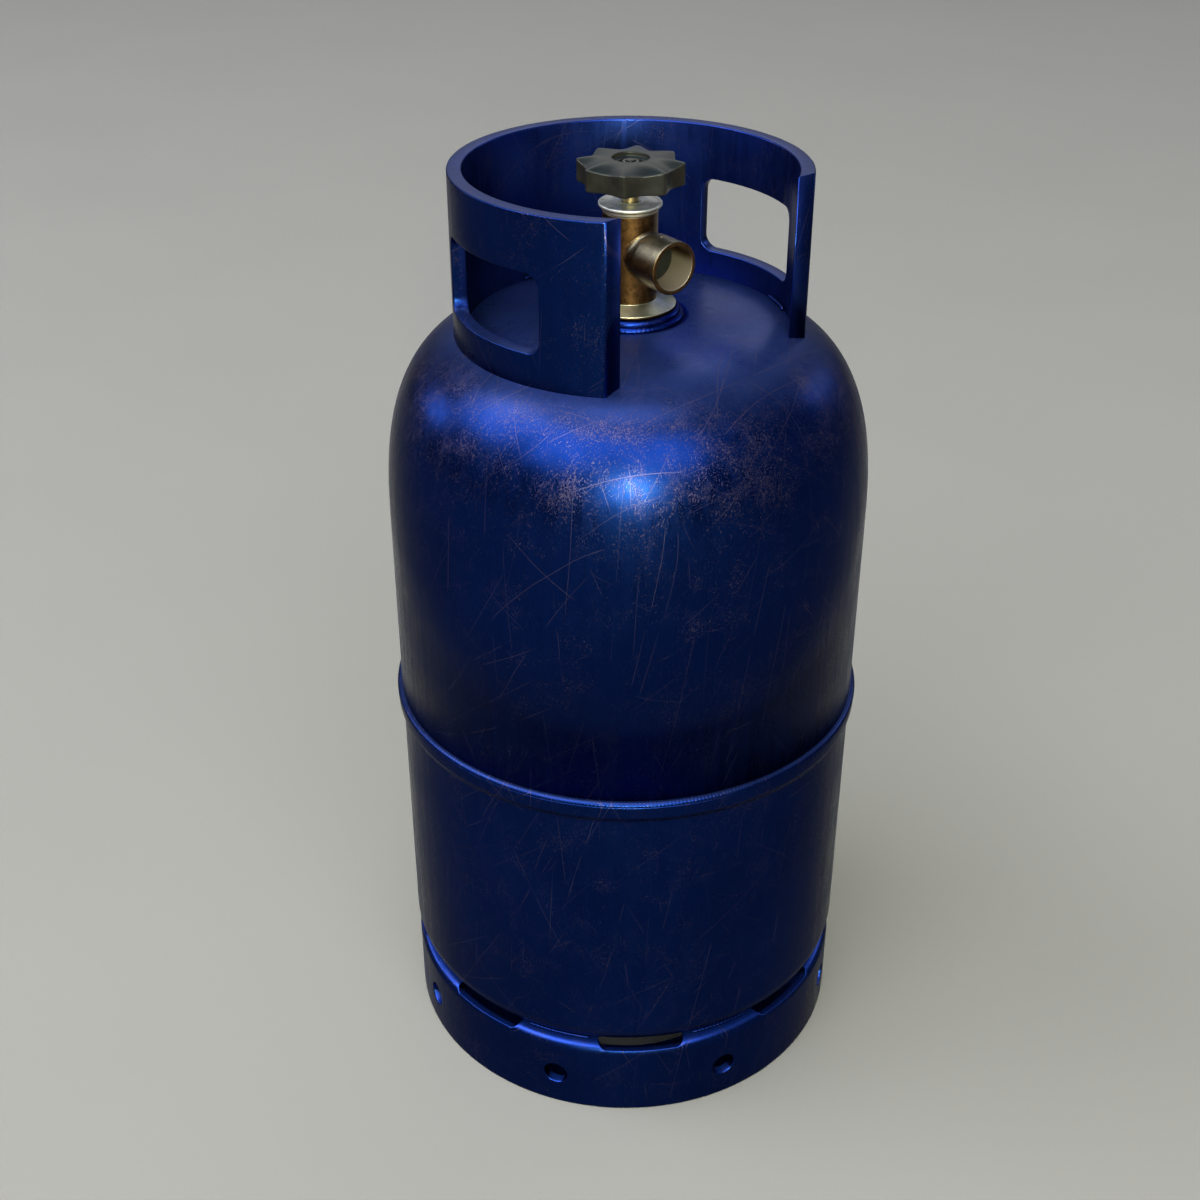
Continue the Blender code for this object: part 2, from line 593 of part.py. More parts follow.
def make_spindle(parts, cutters):
    """The spindle: threaded end, square, round shaft with its seal groove, shoulder and tang."""
    groove = O_RING_SECTION + GAP
    profile = [
        (0.0, SPINDLE_TOP_Z),
        (THREAD_RADIUS - GAP, SPINDLE_TOP_Z),
        (THREAD_RADIUS, SPINDLE_TOP_Z - GAP),
        (THREAD_RADIUS, SPINDLE_STEP_Z),
        (SPINDLE_RADIUS, SPINDLE_STEP_Z),
        (SPINDLE_RADIUS, O_RING_Z + groove),
        (O_RING_GROOVE_RADIUS, O_RING_Z + groove),
        (O_RING_GROOVE_RADIUS, O_RING_Z - groove),
        (SPINDLE_RADIUS, O_RING_Z - groove),
        (SPINDLE_RADIUS, SPINDLE_SHOULDER_TOP_Z),
        (SPINDLE_SHOULDER_RADIUS, SPINDLE_SHOULDER_TOP_Z),
        (SPINDLE_SHOULDER_RADIUS, SPINDLE_SHOULDER_FOOT_Z),
        (0.0, SPINDLE_SHOULDER_FOOT_Z),
    ]
    spindle = turned("spindle", profile, SMALL_STEPS, parts, closed=False)
    half = SQUARE_SIDE / 2
    square_low = (-half, -half, SPINDLE_STEP_Z - CUT_MARGIN)
    square = box("spindle_square", square_low, (half, half, BUSH_TOP_Z), cutters)
    tang_low = (-TANG_LENGTH / 2, -TANG_WIDTH / 2, TANG_FOOT_Z)
    tang_high = (TANG_LENGTH / 2, TANG_WIDTH / 2, SPINDLE_SHOULDER_FOOT_Z + CUT_MARGIN)
    tang = box("spindle_tang", tang_low, tang_high, cutters)
    for tool in (square, tang):
        hide_cutter(tool)
        boolean(spindle, "UNION", tool)
    finish(spindle, material("brass_spindle", (0.62, 0.50, 0.30), 0.30, 1.0))

    centre = (SPINDLE_RADIUS + O_RING_GROOVE_RADIUS + GAP) / 2
    section = arc(centre, O_RING_Z, O_RING_SECTION, 90, -210, 6)
    ring = turned("spindle_o_ring", section, SMALL_STEPS, parts, closed=True)
    finish(ring, material("o_ring_rubber", (0.02, 0.02, 0.02), 0.55, 0.0))

    top = THRUST_WASHER_Z + THRUST_WASHER_THICKNESS
    inner, outer = SPINDLE_RADIUS + GAP, THRUST_WASHER_RADIUS
    profile = [(inner, top), (outer, top), (outer, THRUST_WASHER_Z), (inner, THRUST_WASHER_Z)]
    washer = turned("thrust_washer", profile, SMALL_STEPS, parts, closed=True)
    finish(washer, material("washer_plastic", (0.80, 0.80, 0.76), 0.45, 0.0))
    return [spindle, ring, washer]


def wheel_reach(angle):
    """Distance from the axis to the handwheel's lobed edge."""
    lobe = abs(math.cos(WHEEL_LOBES * angle / 2)) ** WHEEL_LOBE_POWER
    return WHEEL_RADIUS - WHEEL_LOBE_DEPTH * (1 - lobe)


def make_handwheel(parts, cutters):
    """The moulded wheel: a crowned, lobed rim, a recess on top for its nut and a hollow underside."""
    blank_radius = WHEEL_RADIUS + CUT_MARGIN
    profile = [
        (WHEEL_RECESS_RADIUS, WHEEL_CROWN_Z),
        ((WHEEL_RECESS_RADIUS + WHEEL_RADIUS) / 2, WHEEL_CROWN_Z - WHEEL_CROWN_DROP),
        (WHEEL_RADIUS - WHEEL_EDGE_BEVEL, WHEEL_EDGE_Z),
        (blank_radius, WHEEL_EDGE_Z - WHEEL_EDGE_BEVEL - CUT_MARGIN),
        (blank_radius, WHEEL_FOOT_Z),
        (WHEEL_POCKET_OUTER, WHEEL_FOOT_Z),
        (WHEEL_POCKET_OUTER, WHEEL_POCKET_Z),
        (WHEEL_POCKET_INNER, WHEEL_POCKET_Z),
        (WHEEL_POCKET_INNER, WHEEL_FOOT_Z),
        (BUSH_RADIUS + GAP, WHEEL_FOOT_Z),
        (BUSH_RADIUS + GAP, WHEEL_COUNTERBORE_Z),
        (WHEEL_COUNTERBORE_RADIUS, WHEEL_COUNTERBORE_Z),
        (WHEEL_COUNTERBORE_RADIUS, WHEEL_RECESS_Z),
        (WHEEL_RECESS_RADIUS, WHEEL_RECESS_Z),
    ]
    wheel = turned("handwheel", profile, SMALL_STEPS, parts, closed=True)
    count = WHEEL_LOBES * 6
    low = WHEEL_FOOT_Z - CUT_MARGIN
    outline = bmesh.new()
    corners = []
    for i in range(count):
        angle = 2 * math.pi * i / count
        reach = wheel_reach(angle)
        corners.append(outline.verts.new((reach * math.cos(angle), reach * math.sin(angle), low)))
    face = outline.faces.new(corners)
    raised = bmesh.ops.extrude_face_region(outline, geom=[face])
    lifted = [item for item in raised["geom"] if isinstance(item, bmesh.types.BMVert)]
    lift = WHEEL_CROWN_Z + CUT_MARGIN - low
    bmesh.ops.translate(outline, vec=(0, 0, lift), verts=lifted)
    prism = from_bmesh("wheel_outline", outline, cutters)
    hide_cutter(prism)
    boolean(wheel, "INTERSECT", prism)
    finish(wheel, material("wheel_plastic", (0.045, 0.048, 0.045), 0.42, 0.0))
    return wheel


def make_wheel_hardware(parts, cutters):
    """The bush moulded into the wheel, and the washer and nut that hold it on the spindle."""
    bush = cylinder("wheel_bush", BUSH_RADIUS, BUSH_FOOT_Z, BUSH_TOP_Z, SMALL_STEPS, parts)
    half = SQUARE_SIDE / 2 + GAP
    square_low = (-half, -half, BUSH_FOOT_Z - CUT_MARGIN)
    square = box("bush_square", square_low, (half, half, BUSH_TOP_Z + CUT_MARGIN), cutters)
    hide_cutter(square)
    boolean(bush, "DIFFERENCE", square)
    finish(bush, material("bush_metal", (0.55, 0.55, 0.53), 0.35, 1.0))

    washer_low = BUSH_TOP_Z + GAP
    washer_top = washer_low + WHEEL_WASHER_THICKNESS
    inner, outer = THREAD_RADIUS + GAP, WHEEL_WASHER_RADIUS
    profile = [(inner, washer_top), (outer, washer_top), (outer, washer_low), (inner, washer_low)]
    washer = turned("wheel_washer", profile, SMALL_STEPS, parts, closed=True)
    finish(washer, material("washer_steel", (0.55, 0.56, 0.57), 0.30, 1.0))

    nut_low = washer_top + GAP
    nut_top = nut_low + NUT_THICKNESS
    corner_radius = NUT_FLATS / math.sqrt(3)
    nut = cylinder("wheel_nut", corner_radius, nut_low, nut_top, 6, parts)
    bore_radius = THREAD_RADIUS + GAP
    bore = cylinder("nut_bore", bore_radius, nut_low - CUT_MARGIN, nut_top + CUT_MARGIN, SMALL_STEPS, cutters)
    hide_cutter(bore)
    boolean(nut, "DIFFERENCE", bore)
    finish(nut, material("nut_steel", (0.55, 0.56, 0.57), 0.28, 1.0))
    return [bush, washer, nut]


def make_plug(parts, cutters):
    """The plug that the spindle's tang turns up its thread, and the soft disc that closes the seat."""
    plug = cylinder("plug", PLUG_RADIUS, PLUG_FOOT_Z, PLUG_TOP_Z, SMALL_STEPS, parts)
    half = TANG_WIDTH / 2 + TANG_CLEARANCE
    reach = PLUG_RADIUS + CUT_MARGIN
    slot_high = (reach, half, PLUG_TOP_Z + CUT_MARGIN)
    slot = box("plug_slot", (-reach, -half, PLUG_SLOT_FOOT_Z), slot_high, cutters)
    hide_cutter(slot)
    boolean(plug, "DIFFERENCE", slot)
    finish(plug, material("brass_plug", (0.50, 0.36, 0.18), 0.40, 1.0))
    disc = cylinder("seat_disc", SEAT_DISC_RADIUS, SEAT_DISC_FOOT_Z, PLUG_FOOT_Z - GAP, SMALL_STEPS, parts)
    finish(disc, material("disc_nylon", (0.75, 0.74, 0.68), 0.45, 0.0))
    return [plug, disc]


def hang_on_axis(name, pieces, height, collection):
    """Parents pieces to an empty on the valve's axis, without moving them."""
    pivot = bpy.data.objects.new(name, None)
    pivot.location = (0, 0, height)
    pivot.empty_display_size = 0.02
    collection.objects.link(pivot)
    for piece in pieces:
        piece.parent = pivot
        piece.matrix_parent_inverse = Matrix.Translation((0, 0, -height))


def main():
    for obj in list(bpy.data.objects):
        bpy.data.objects.remove(obj, do_unlink=True)
    parts = bpy.data.collections.new("propane_tank")
    cutters = bpy.data.collections.new("cutters")
    bpy.context.scene.collection.children.link(parts)
    bpy.context.scene.collection.children.link(cutters)

    make_upper_shell(parts)
    make_lower_shell(parts)
    make_girth_weld(parts)
    make_boss(parts)
    make_collar(parts, cutters)
    make_foot_ring(parts, cutters)
    make_valve_body(parts, cutters)
    make_bonnet(parts)
    turning = make_spindle(parts, cutters)
    turning.append(make_handwheel(parts, cutters))
    turning += make_wheel_hardware(parts, cutters)
    hang_on_axis("spindle_axis", turning, BONNET_CROWN_Z, parts)
    lifting = make_plug(parts, cutters)
    hang_on_axis("plug_axis", lifting, PLUG_FOOT_Z, parts)


main()
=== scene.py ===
"""The looks of a propane tank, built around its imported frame: metres, +Z up, outlet towards -Y."""

import math

import bmesh
import bpy
from mathutils import Euler, Matrix, Vector


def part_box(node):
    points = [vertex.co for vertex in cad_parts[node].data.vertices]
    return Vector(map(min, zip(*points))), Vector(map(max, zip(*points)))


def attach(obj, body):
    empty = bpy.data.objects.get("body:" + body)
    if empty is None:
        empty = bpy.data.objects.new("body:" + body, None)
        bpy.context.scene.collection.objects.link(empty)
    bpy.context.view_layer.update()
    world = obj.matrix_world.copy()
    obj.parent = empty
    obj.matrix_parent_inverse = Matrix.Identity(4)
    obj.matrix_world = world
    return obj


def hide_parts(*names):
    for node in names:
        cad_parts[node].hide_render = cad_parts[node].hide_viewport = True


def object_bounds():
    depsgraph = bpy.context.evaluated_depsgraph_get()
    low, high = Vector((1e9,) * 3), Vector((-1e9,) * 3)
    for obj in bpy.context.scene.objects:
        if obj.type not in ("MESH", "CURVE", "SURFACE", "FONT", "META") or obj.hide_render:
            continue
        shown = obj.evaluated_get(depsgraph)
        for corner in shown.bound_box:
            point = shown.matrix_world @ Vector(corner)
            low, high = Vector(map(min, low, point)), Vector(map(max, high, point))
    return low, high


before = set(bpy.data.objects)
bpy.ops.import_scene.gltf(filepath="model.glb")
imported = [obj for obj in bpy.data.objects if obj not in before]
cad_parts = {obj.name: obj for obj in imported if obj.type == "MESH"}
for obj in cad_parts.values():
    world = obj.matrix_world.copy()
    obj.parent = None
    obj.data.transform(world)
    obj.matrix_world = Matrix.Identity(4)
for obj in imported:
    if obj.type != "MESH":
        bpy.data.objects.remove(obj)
cad_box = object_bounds()

# Corners nearer than this merge, and round pieces have this many sides
MERGE = 0.000002
ROUND_STEPS = 192
SMALL_ROUND_STEPS = 96

# The dome is a superellipse about the axis; its top and rim come from the frame
BODY_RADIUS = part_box("upper_shell")[1].x
DOME_RISE = 0.1301
DOME_BASE_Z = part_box("upper_shell")[1].z - DOME_RISE
DOME_POWER = 4.75
DOME_ROOT = 2.70
DOME_HOLE = 0.0253
WALL = 0.0026
GAP = 0.0003

# The bottom head is a crown and a knuckle of these radii; the lip's bends are this far below its top
HEAD_BASE_Z = 0.0768
HEAD_KNUCKLE = 0.020
HEAD_CROWN = 0.300
LIP_EDGE = 0.0006
LIP_SEAT_DROP = 0.0062
LIP_FLANK_DROP = 0.0085
LIP_BASE_DROP = 0.0135
LIP_FADE_DROP = 0.0400

BOSS_BORE_TOP = 0.0130
BOSS_BORE_FOOT = 0.0122
BOSS_NECK_RADIUS = 0.025

# Each weld bites this far into its wall, and each bead tapers over this share of its half length
GIRTH_WELD_BITE = 0.0004
BOSS_WELD_BITE = 0.0006
BEAD_TAPER = 0.06

# The collar's -X end lies back by the skew, in degrees, and comes forward again across its wall
COLLAR_RADIUS = 0.1065
COLLAR_WALL = 0.0088
COLLAR_TOP_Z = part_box("collar")[1].z
COLLAR_FRONT_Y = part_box("collar")[0].y
COLLAR_EDGE = 0.0009
COLLAR_SINK = 0.0026
COLLAR_SKEW = 0.5
COLLAR_SKEW_ACROSS = 4.3
COLLAR_SHEAR_OVER = math.radians(18)
COLLAR_COLUMN = math.radians(1.6)
HAND_HOLE_LOW_Z = 0.5310
HAND_HOLE_HIGH_Z = 0.5775
HAND_HOLE_HALF_ANGLE = math.radians(24.6)
HAND_HOLE_CORNER = 0.0085

# Angles round the foot are in degrees; it fills this share of its turn, so that its ends don't merge
FOOT_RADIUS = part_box("foot_ring")[1].x
FOOT_SHOULDER_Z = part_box("foot_ring")[1].z
FOOT_WALL = 0.0060
FOOT_SHOULDER_THICKNESS = 0.0030
FOOT_SHOULDER_EDGE = 0.1400
FOOT_BASE_EDGE = 0.0950
FOOT_BASE_THICKNESS = 0.0030
FOOT_ROUNDING = 0.0065
FOOT_INNER_ROUNDING = 0.0045
FOOT_BASE_ROUNDING = 0.0015
FOOT_BASE_INNER_ROUNDING = 0.0010
FOOT_DIVISIONS = 8
FOOT_HOLE_RADIUS = 0.0083
FOOT_HOLE_Z = 0.0264
FOOT_HOLE_START = -10
FOOT_WINDOW_START = 12.5
FOOT_WINDOW_WIDTH = 0.0570
FOOT_WINDOW_REACH = 0.1485
FOOT_WINDOW_CORNER = 0.0080
FOOT_SEAM_ANGLE = 177
FOOT_TURN_SHARE = 0.99998
FOOT_PLATE = 0.004
FOOT_EDGE = 0.0006
FOOT_COLUMN = math.radians(1.5)

COLUMN_RADIUS = 0.0165
COLUMN_FOOT_Z = 0.5315
FLANGE_TOP_Z = 0.5283
FLANGE_FOOT_Z = 0.5267
STEM_TOP_RADIUS = 0.0127
STEM_FOOT_RADIUS = 0.0116
INLET_RADIUS = 0.0032
CHAMBER_RADIUS = 0.0073
CHAMBER_FOOT_Z = 0.5535
SHOULDER_BORE = 0.0086
SHOULDER_BORE_FOOT_Z = 0.5706
BONNET_BORE = 0.0120
BONNET_BORE_FOOT_Z = 0.5753

OUTLET_Z = 0.5606
OUTLET_REACH = -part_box("valve_body")[0].y
OUTLET_RADIUS = 0.01575
OUTLET_BORE = 0.0130
OUTLET_BORE_FOOT = 0.0220
OUTLET_NECK_RADIUS = 0.0122
OUTLET_NECK_REACH = 0.0195
OUTLET_BACK_ROUNDING = 0.0046
NECK_FILLET = 0.0025
FILLET_STEPS = 10
NECK_SINK = 0.9
PIP_REACH = 0.0300
SEAL_RADIUS = 0.0124
SEAL_HOLE = 0.0035

BONNET_RIM_DROP = 0.0004
BONNET_RIM_THICKNESS = 0.0021
BONNET_DISH = 0.0003
BONNET_NECK_RADIUS = 0.0169
BONNET_SEAT_Z = 0.5850
BONNET_SKIRT_RADIUS = 0.0117

SPINDLE_RADIUS = 0.0049
SPINDLE_BORE = 0.0052
SPINDLE_THREAD_RADIUS = 0.0029
SPINDLE_STEP_Z = 0.5985
SPINDLE_SHOULDER_RADIUS = 0.0075
SPINDLE_SHOULDER_TOP_Z = 0.5740
SPINDLE_SHOULDER_FOOT_Z = 0.5710
O_RING_GROOVE_RADIUS = 0.0030
O_RING_GROOVE_TOP_Z = 0.58125
O_RING_GROOVE_FOOT_Z = 0.57915
SQUARE_SIZE = (0.0065, 0.0065, 0.0110)
SQUARE_Z = 0.6035
TANG_SIZE = (0.0090, 0.0024, 0.0080)
TANG_Z = 0.5678

WHEEL_RADIUS = 0.0318
WHEEL_LOBES = 8
WHEEL_LOBE_DEPTH = 0.0044
WHEEL_LOBE_BLUNTNESS = 0.20
WHEEL_DIP = 0.0016
WHEEL_CROWN = 0.0020
WHEEL_EDGE = 0.0009
WHEEL_FOOT_EDGE = 0.0012
WHEEL_RIM_LIFT = 0.0014
WHEEL_FOOT_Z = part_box("handwheel")[0].z
WHEEL_TOP_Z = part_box("handwheel")[1].z
WHEEL_TOP_STEPS = 18
WHEEL_TOP_START = 0.0132
WHEEL_RIM_INSIDE = 0.0232
WHEEL_WEB_Z = 0.6075
HUB_RADIUS = 0.0138
HUB_BORE = 0.0093
BUSH_TOP_Z = 0.6093
NUT_RECESS_RADIUS = 0.0109
NUT_RECESS_Z = 0.6128
NUT_RECESS_HOLE = 0.0074
NUT_HALF_WIDTH = 0.0050
NUT_FACE = 0.92 * NUT_HALF_WIDTH
NUT_PLAY = 0.00006
NUT_BORE = 0.0031
NUT_MOUTH = 0.0034
NUT_COUNTERSINK = 0.0003
WASHER_BORE = 0.0032

# Enamel in linear colours: plain, cloudy, lightened inside the guard as a painted reflection, the painted
# reflection where it faces up, the painted reflection on the foot's top, and worn off
ENAMEL = (0.0016, 0.0082, 0.0580)
ENAMEL_CLOUD = (0.0020, 0.0100, 0.0700)
ENAMEL_INSIDE_PAINTED_REFLECTION = (0.0042, 0.0165, 0.1450)
ENAMEL_PAINTED_REFLECTION = (0.0140, 0.0300, 0.1350)
ENAMEL_FOOT_PAINTED_REFLECTION = (0.0060, 0.0280, 0.2200)
BARE_METAL = (0.046, 0.038, 0.082)

# Each family of scratches: how its planes lean in degrees, their spacing, and how rare its lines are
SCRATCH_FAMILIES = (
    ((20, 35, 10), 0.019, 0.560), ((-48, 15, 60), 0.023, 0.565), ((70, -20, -35), 0.017, 0.565),
    ((10, 80, 25), 0.021, 0.560), ((-75, 60, 100), 0.026, 0.555), ((85, 50, -50), 0.018, 0.565),
    ((110, -45, 15), 0.022, 0.565), ((60, -25, -105), 0.027, 0.555), ((95, 12, 60), 0.015, 0.575),
    ((40, 5, 130), 0.024, 0.560), ((-60, -35, 20), 0.020, 0.565), ((55, 40, 80), 0.016, 0.570),
)
SCRATCH_CORE = 0.00006
SCRATCH_EDGE = 0.00024
FLAKE_TURNS = ((0, 40, 20), (50, 0, 70), (-30, 70, -40))
FLAKE_STRETCH = (420.0, 1700.0, 1700.0)

# The lights face this point of the tank, and fade over this share of their width and height at each side
LIGHT_TARGET = Vector((0, 0, 0.47))
LIGHT_FADE = 0.32


# ---- shapes

def arc(centre, radius, start, end, count):
    """Points of an arc; angles in degrees from +X towards +Y of the outline's plane."""
    angles = [math.radians(start + (end - start) * i / (count - 1)) for i in range(count)]
    return [(centre[0] + radius * math.cos(a), centre[1] + radius * math.sin(a)) for a in angles]


def soften(corners, closed=True, steps=6):
    """The outline through (x, y, rounding) corners, each with its own radius; an open one keeps its ends."""
    points = []
    count = len(corners)
    for i, (x, y, rounding) in enumerate(corners):
        here = Vector((x, y))
        if rounding <= 0 or (not closed and i in (0, count - 1)):
            points.append(tuple(here))
            continue
        back = Vector(corners[i - 1][:2]) - here
        ahead = Vector(corners[(i + 1) % count][:2]) - here
        half = back.angle(ahead) / 2
        reach = min(rounding / math.tan(half), 0.49 * back.length, 0.49 * ahead.length)
        back.normalize()
        ahead.normalize()
        centre = here + (back + ahead).normalized() * reach / math.cos(half)
        start = here + back * reach - centre
        end = here + ahead * reach - centre
        points += [tuple(centre + start.slerp(end, k / steps) * start.length) for k in range(steps + 1)]
    return points


def from_bmesh(name, shape):
    """The object of a finished shape, without double corners or loose edges."""
    bmesh.ops.remove_doubles(shape, verts=shape.verts, dist=MERGE)
    loose = [edge for edge in shape.edges if not edge.link_faces]
    bmesh.ops.delete(shape, geom=loose, context="EDGES")
    bmesh.ops.recalc_face_normals(shape, faces=shape.faces)
    mesh = bpy.data.meshes.new(name)
    shape.to_mesh(mesh)
    shape.free()
    obj = bpy.data.objects.new(name, mesh)
    bpy.context.scene.collection.objects.link(obj)
    mesh.shade_smooth()
    return obj


def turned(name, profile, steps=ROUND_STEPS, closed=True):
    """A shape turned about Z from (radius, height) points; closed joins the outline's ends."""
    shape = bmesh.new()
    corners = [shape.verts.new((reach, 0, height)) for reach, height in profile]
    sides = [shape.edges.new(pair) for pair in zip(corners, corners[1:])]
    if closed:
        sides.append(shape.edges.new((corners[-1], corners[0])))
    bmesh.ops.spin(
        shape, geom=corners + sides, axis=(0, 0, 1), cent=(0, 0, 0), angle=2 * math.pi, steps=steps,
        use_merge=True,
    )
    return from_bmesh(name, shape)


def ring_surface(name, rows, columns, place, joined):
    """A surface of rings of points from place(row, angle); joined closes the last ring to the first."""
    shape = bmesh.new()
    angles = [2 * math.pi * i / columns for i in range(columns)]
    rings = [[shape.verts.new(place(row, angle)) for angle in angles] for row in rows]
    pairs = list(zip(rings, rings[1:]))
    if joined:
        pairs.append((rings[-1], rings[0]))
    for near, far in pairs:
        for i in range(columns):
            j = (i + 1) % columns
            shape.faces.new((near[i], near[j], far[j], far[i]))
    return from_bmesh(name, shape)


def bent_plate(name, loops, thickness, edge, columns, rows, place):
    """A flat plate with rounded edges, cut at columns and rows, then bent by place(x, y, depth's share)."""
    curve = bpy.data.curves.new(name, "CURVE")
    curve.dimensions = "2D"
    curve.fill_mode = "BOTH"
    curve.extrude = thickness / 2 - edge
    curve.bevel_depth = edge
    curve.bevel_resolution = 2
    curve.offset = -edge
    for loop in loops:
        spline = curve.splines.new("POLY")
        spline.points.add(len(loop) - 1)
        spline.use_cyclic_u = True
        for point, (x, y) in zip(spline.points, loop):
            point.co = (x, y, 0, 1)
    flat = bpy.data.objects.new(name, curve)
    bpy.context.scene.collection.objects.link(flat)
    bpy.context.view_layer.update()
    graph = bpy.context.evaluated_depsgraph_get()
    mesh = bpy.data.meshes.new_from_object(flat.evaluated_get(graph))
    bpy.data.objects.remove(flat)
    bpy.data.curves.remove(curve)
    shape = bmesh.new()
    shape.from_mesh(mesh)
    bpy.data.meshes.remove(mesh)
    bmesh.ops.remove_doubles(shape, verts=shape.verts, dist=MERGE)
    cuts = [((x, 0, 0), (1, 0, 0)) for x in columns] + [((0, y, 0), (0, 1, 0)) for y in rows]
    for point, normal in cuts:
        pieces = shape.verts[:] + shape.edges[:] + shape.faces[:]
        bmesh.ops.bisect_plane(shape, geom=pieces, dist=MERGE, plane_co=point, plane_no=normal)
    for corner in shape.verts:
        corner.co = place(corner.co.x, corner.co.y, corner.co.z / thickness + 0.5)
    return from_bmesh(name, shape)


def polar(radius, angle, height):
    """A point at this angle, measured from -Y towards +X."""
    return Vector((radius * math.sin(angle), -radius * math.cos(angle), height))


def evenly(start, end, step):
    """Values from start to end, evenly spaced by step or less."""
    count = max(1, math.ceil(abs(end - start) / step))
    return [start + (end - start) * i / count for i in range(count + 1)]

# ---- pieces of the vessel

def dome_height(reach):
    share = min(reach / BODY_RADIUS, 1.0) ** DOME_POWER
    return DOME_BASE_Z + DOME_RISE * (1 - share) ** (1 / DOME_ROOT)


def dome_outline(radius, rise, hole, count):
    first = math.asin((hole / radius) ** (DOME_POWER / 2))
    points = []
    for i in range(count):
        theta = first + (math.pi / 2 - first) * i / (count - 1)
        height = rise * max(math.cos(theta), 0.0) ** (2 / DOME_ROOT)
        points.append((radius * math.sin(theta) ** (2 / DOME_POWER), DOME_BASE_Z + height))
    return points


def make_upper_shell():
    foot_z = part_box("upper_shell")[0].z
    outer = dome_outline(BODY_RADIUS, DOME_RISE, DOME_HOLE, 72)
    inner = dome_outline(BODY_RADIUS - WALL, DOME_RISE - WALL, DOME_HOLE, 24)
    profile = outer + [(BODY_RADIUS, foot_z), (BODY_RADIUS - WALL, foot_z)] + inner[::-1]
    return turned("upper_shell_fine", profile)


def head_outline(offset):
    """The bottom head from its rim in to the axis, moved inwards by the offset."""
    tilt = math.asin((BODY_RADIUS - HEAD_KNUCKLE) / (HEAD_CROWN - HEAD_KNUCKLE))
    crown_z = HEAD_BASE_Z + (HEAD_CROWN - HEAD_KNUCKLE) * math.cos(tilt)
    turn = math.degrees(tilt) - 90
    points = arc((BODY_RADIUS - HEAD_KNUCKLE, HEAD_BASE_Z), HEAD_KNUCKLE - offset, 0, turn, 14)
    points += arc((0, crown_z), HEAD_CROWN - offset, turn, -90, 14)[1:]
    points[-1] = (0.0, crown_z - HEAD_CROWN + offset)
    return points


def make_lower_shell():
    """The straight body with its head, and the lip that flares round the foot of the upper shell."""
    lip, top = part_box("lower_shell")[1].x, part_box("lower_shell")[1].z
    seat = BODY_RADIUS + GAP
    outside = soften([
        (lip - LIP_EDGE, top, 0), (lip, top - LIP_EDGE, 0.0012), (lip - 0.0005, top - LIP_FLANK_DROP, 0.004),
        (BODY_RADIUS, top - LIP_BASE_DROP, 0.006), (BODY_RADIUS, top - LIP_FADE_DROP, 0),
    ], closed=False)
    inside = head_outline(WALL)[::-1] + [
        (BODY_RADIUS - WALL, top - LIP_BASE_DROP), (seat, top - LIP_SEAT_DROP), (seat, top),
    ]
    return turned("lower_shell_fine", outside + head_outline(0.0) + inside)


def make_boss():
    low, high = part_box("valve_boss")
    seam_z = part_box("boss_weld")[0].z
    profile = soften([
        (BOSS_BORE_TOP, high.z, 0.0004), (high.x, high.z, 0.0024), (high.x, seam_z, 0),
        (BOSS_NECK_RADIUS, seam_z, 0), (BOSS_NECK_RADIUS, low.z, 0.0006), (BOSS_BORE_FOOT, low.z, 0.0004),
    ])
    return turned("valve_boss_fine", profile)


def ripple(phase, depth):
    """The scale of a weld's section along its bead, from 1 down to 1 - depth."""
    return 1 - depth * (0.5 + 0.5 * math.cos(phase))


def round_weld(node, inside, base, ripples, depth, columns, row_step, back):
    """A rippled weld round the axis: a quarter round from its wall to its base, and a corner behind it."""
    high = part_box(node)[1]

    def place(row, angle):
        scale = ripple(angle * ripples, depth)
        reach = inside + (high.x - inside) * math.sin(row) * scale
        return polar(reach, angle, base + (high.z - base) * math.cos(row) * scale)

    rows = [math.radians(turn) for turn in evenly(0, 90, row_step) + [back]]
    return ring_surface(f"{node}_fine", rows, columns, place, joined=True)


def make_girth_weld():
    return round_weld(
        "girth_weld", inside=BODY_RADIUS - GIRTH_WELD_BITE, base=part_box("girth_weld")[0].z - GAP,
        ripples=420, depth=0.02, columns=2520, row_step=10, back=200,
    )


def make_boss_weld():
    return round_weld(
        "boss_weld", inside=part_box("valve_boss")[1].x - BOSS_WELD_BITE,
        base=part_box("boss_weld")[0].z - BOSS_WELD_BITE,
        ripples=76, depth=0.03, columns=760, row_step=15, back=210,
    )


def make_bead(node):
    """A rippled weld bead along the arc of its node in the frame."""
    corners = [v.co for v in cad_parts[node].data.vertices]
    low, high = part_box(node)
    reaches = [math.hypot(c.x, c.y) for c in corners]
    reach = (min(reaches) + max(reaches)) / 2
    middle = sum((Vector((c.x, c.y)) for c in corners), Vector((0, 0)))
    centre = math.atan2(middle.x, -middle.y)
    turns = [(math.atan2(c.x, -c.y) - centre + math.pi) % (2 * math.pi) - math.pi for c in corners]
    half = max(turns)
    thick = (high.z - low.z) / 2
    middle_z = (low.z + high.z) / 2

    def place(row, angle):
        into_taper = max(0.0, (abs(row) - (1 - BEAD_TAPER)) / BEAD_TAPER)
        size = thick * math.sqrt(max(0.0, 1 - into_taper ** 2)) * ripple(row * 48, 0.12)
        return polar(reach + size * math.cos(angle), centre + row * half, middle_z + size * math.sin(angle))

    return ring_surface(f"{node}_fine", evenly(-1, 1, 0.02), 14, place, joined=False)


def collar_end(radius):
    """The collar's end angle on the +X side, where its end face is parallel to the front."""
    return math.acos(-COLLAR_FRONT_Y / radius)


def collar_other_end(radius):
    """The same on the -X side, where the cut runs a little nearer to square."""
    share = (COLLAR_RADIUS - radius) / COLLAR_WALL
    return collar_end(COLLAR_RADIUS) + math.radians(COLLAR_SKEW - COLLAR_SKEW_ACROSS * share)


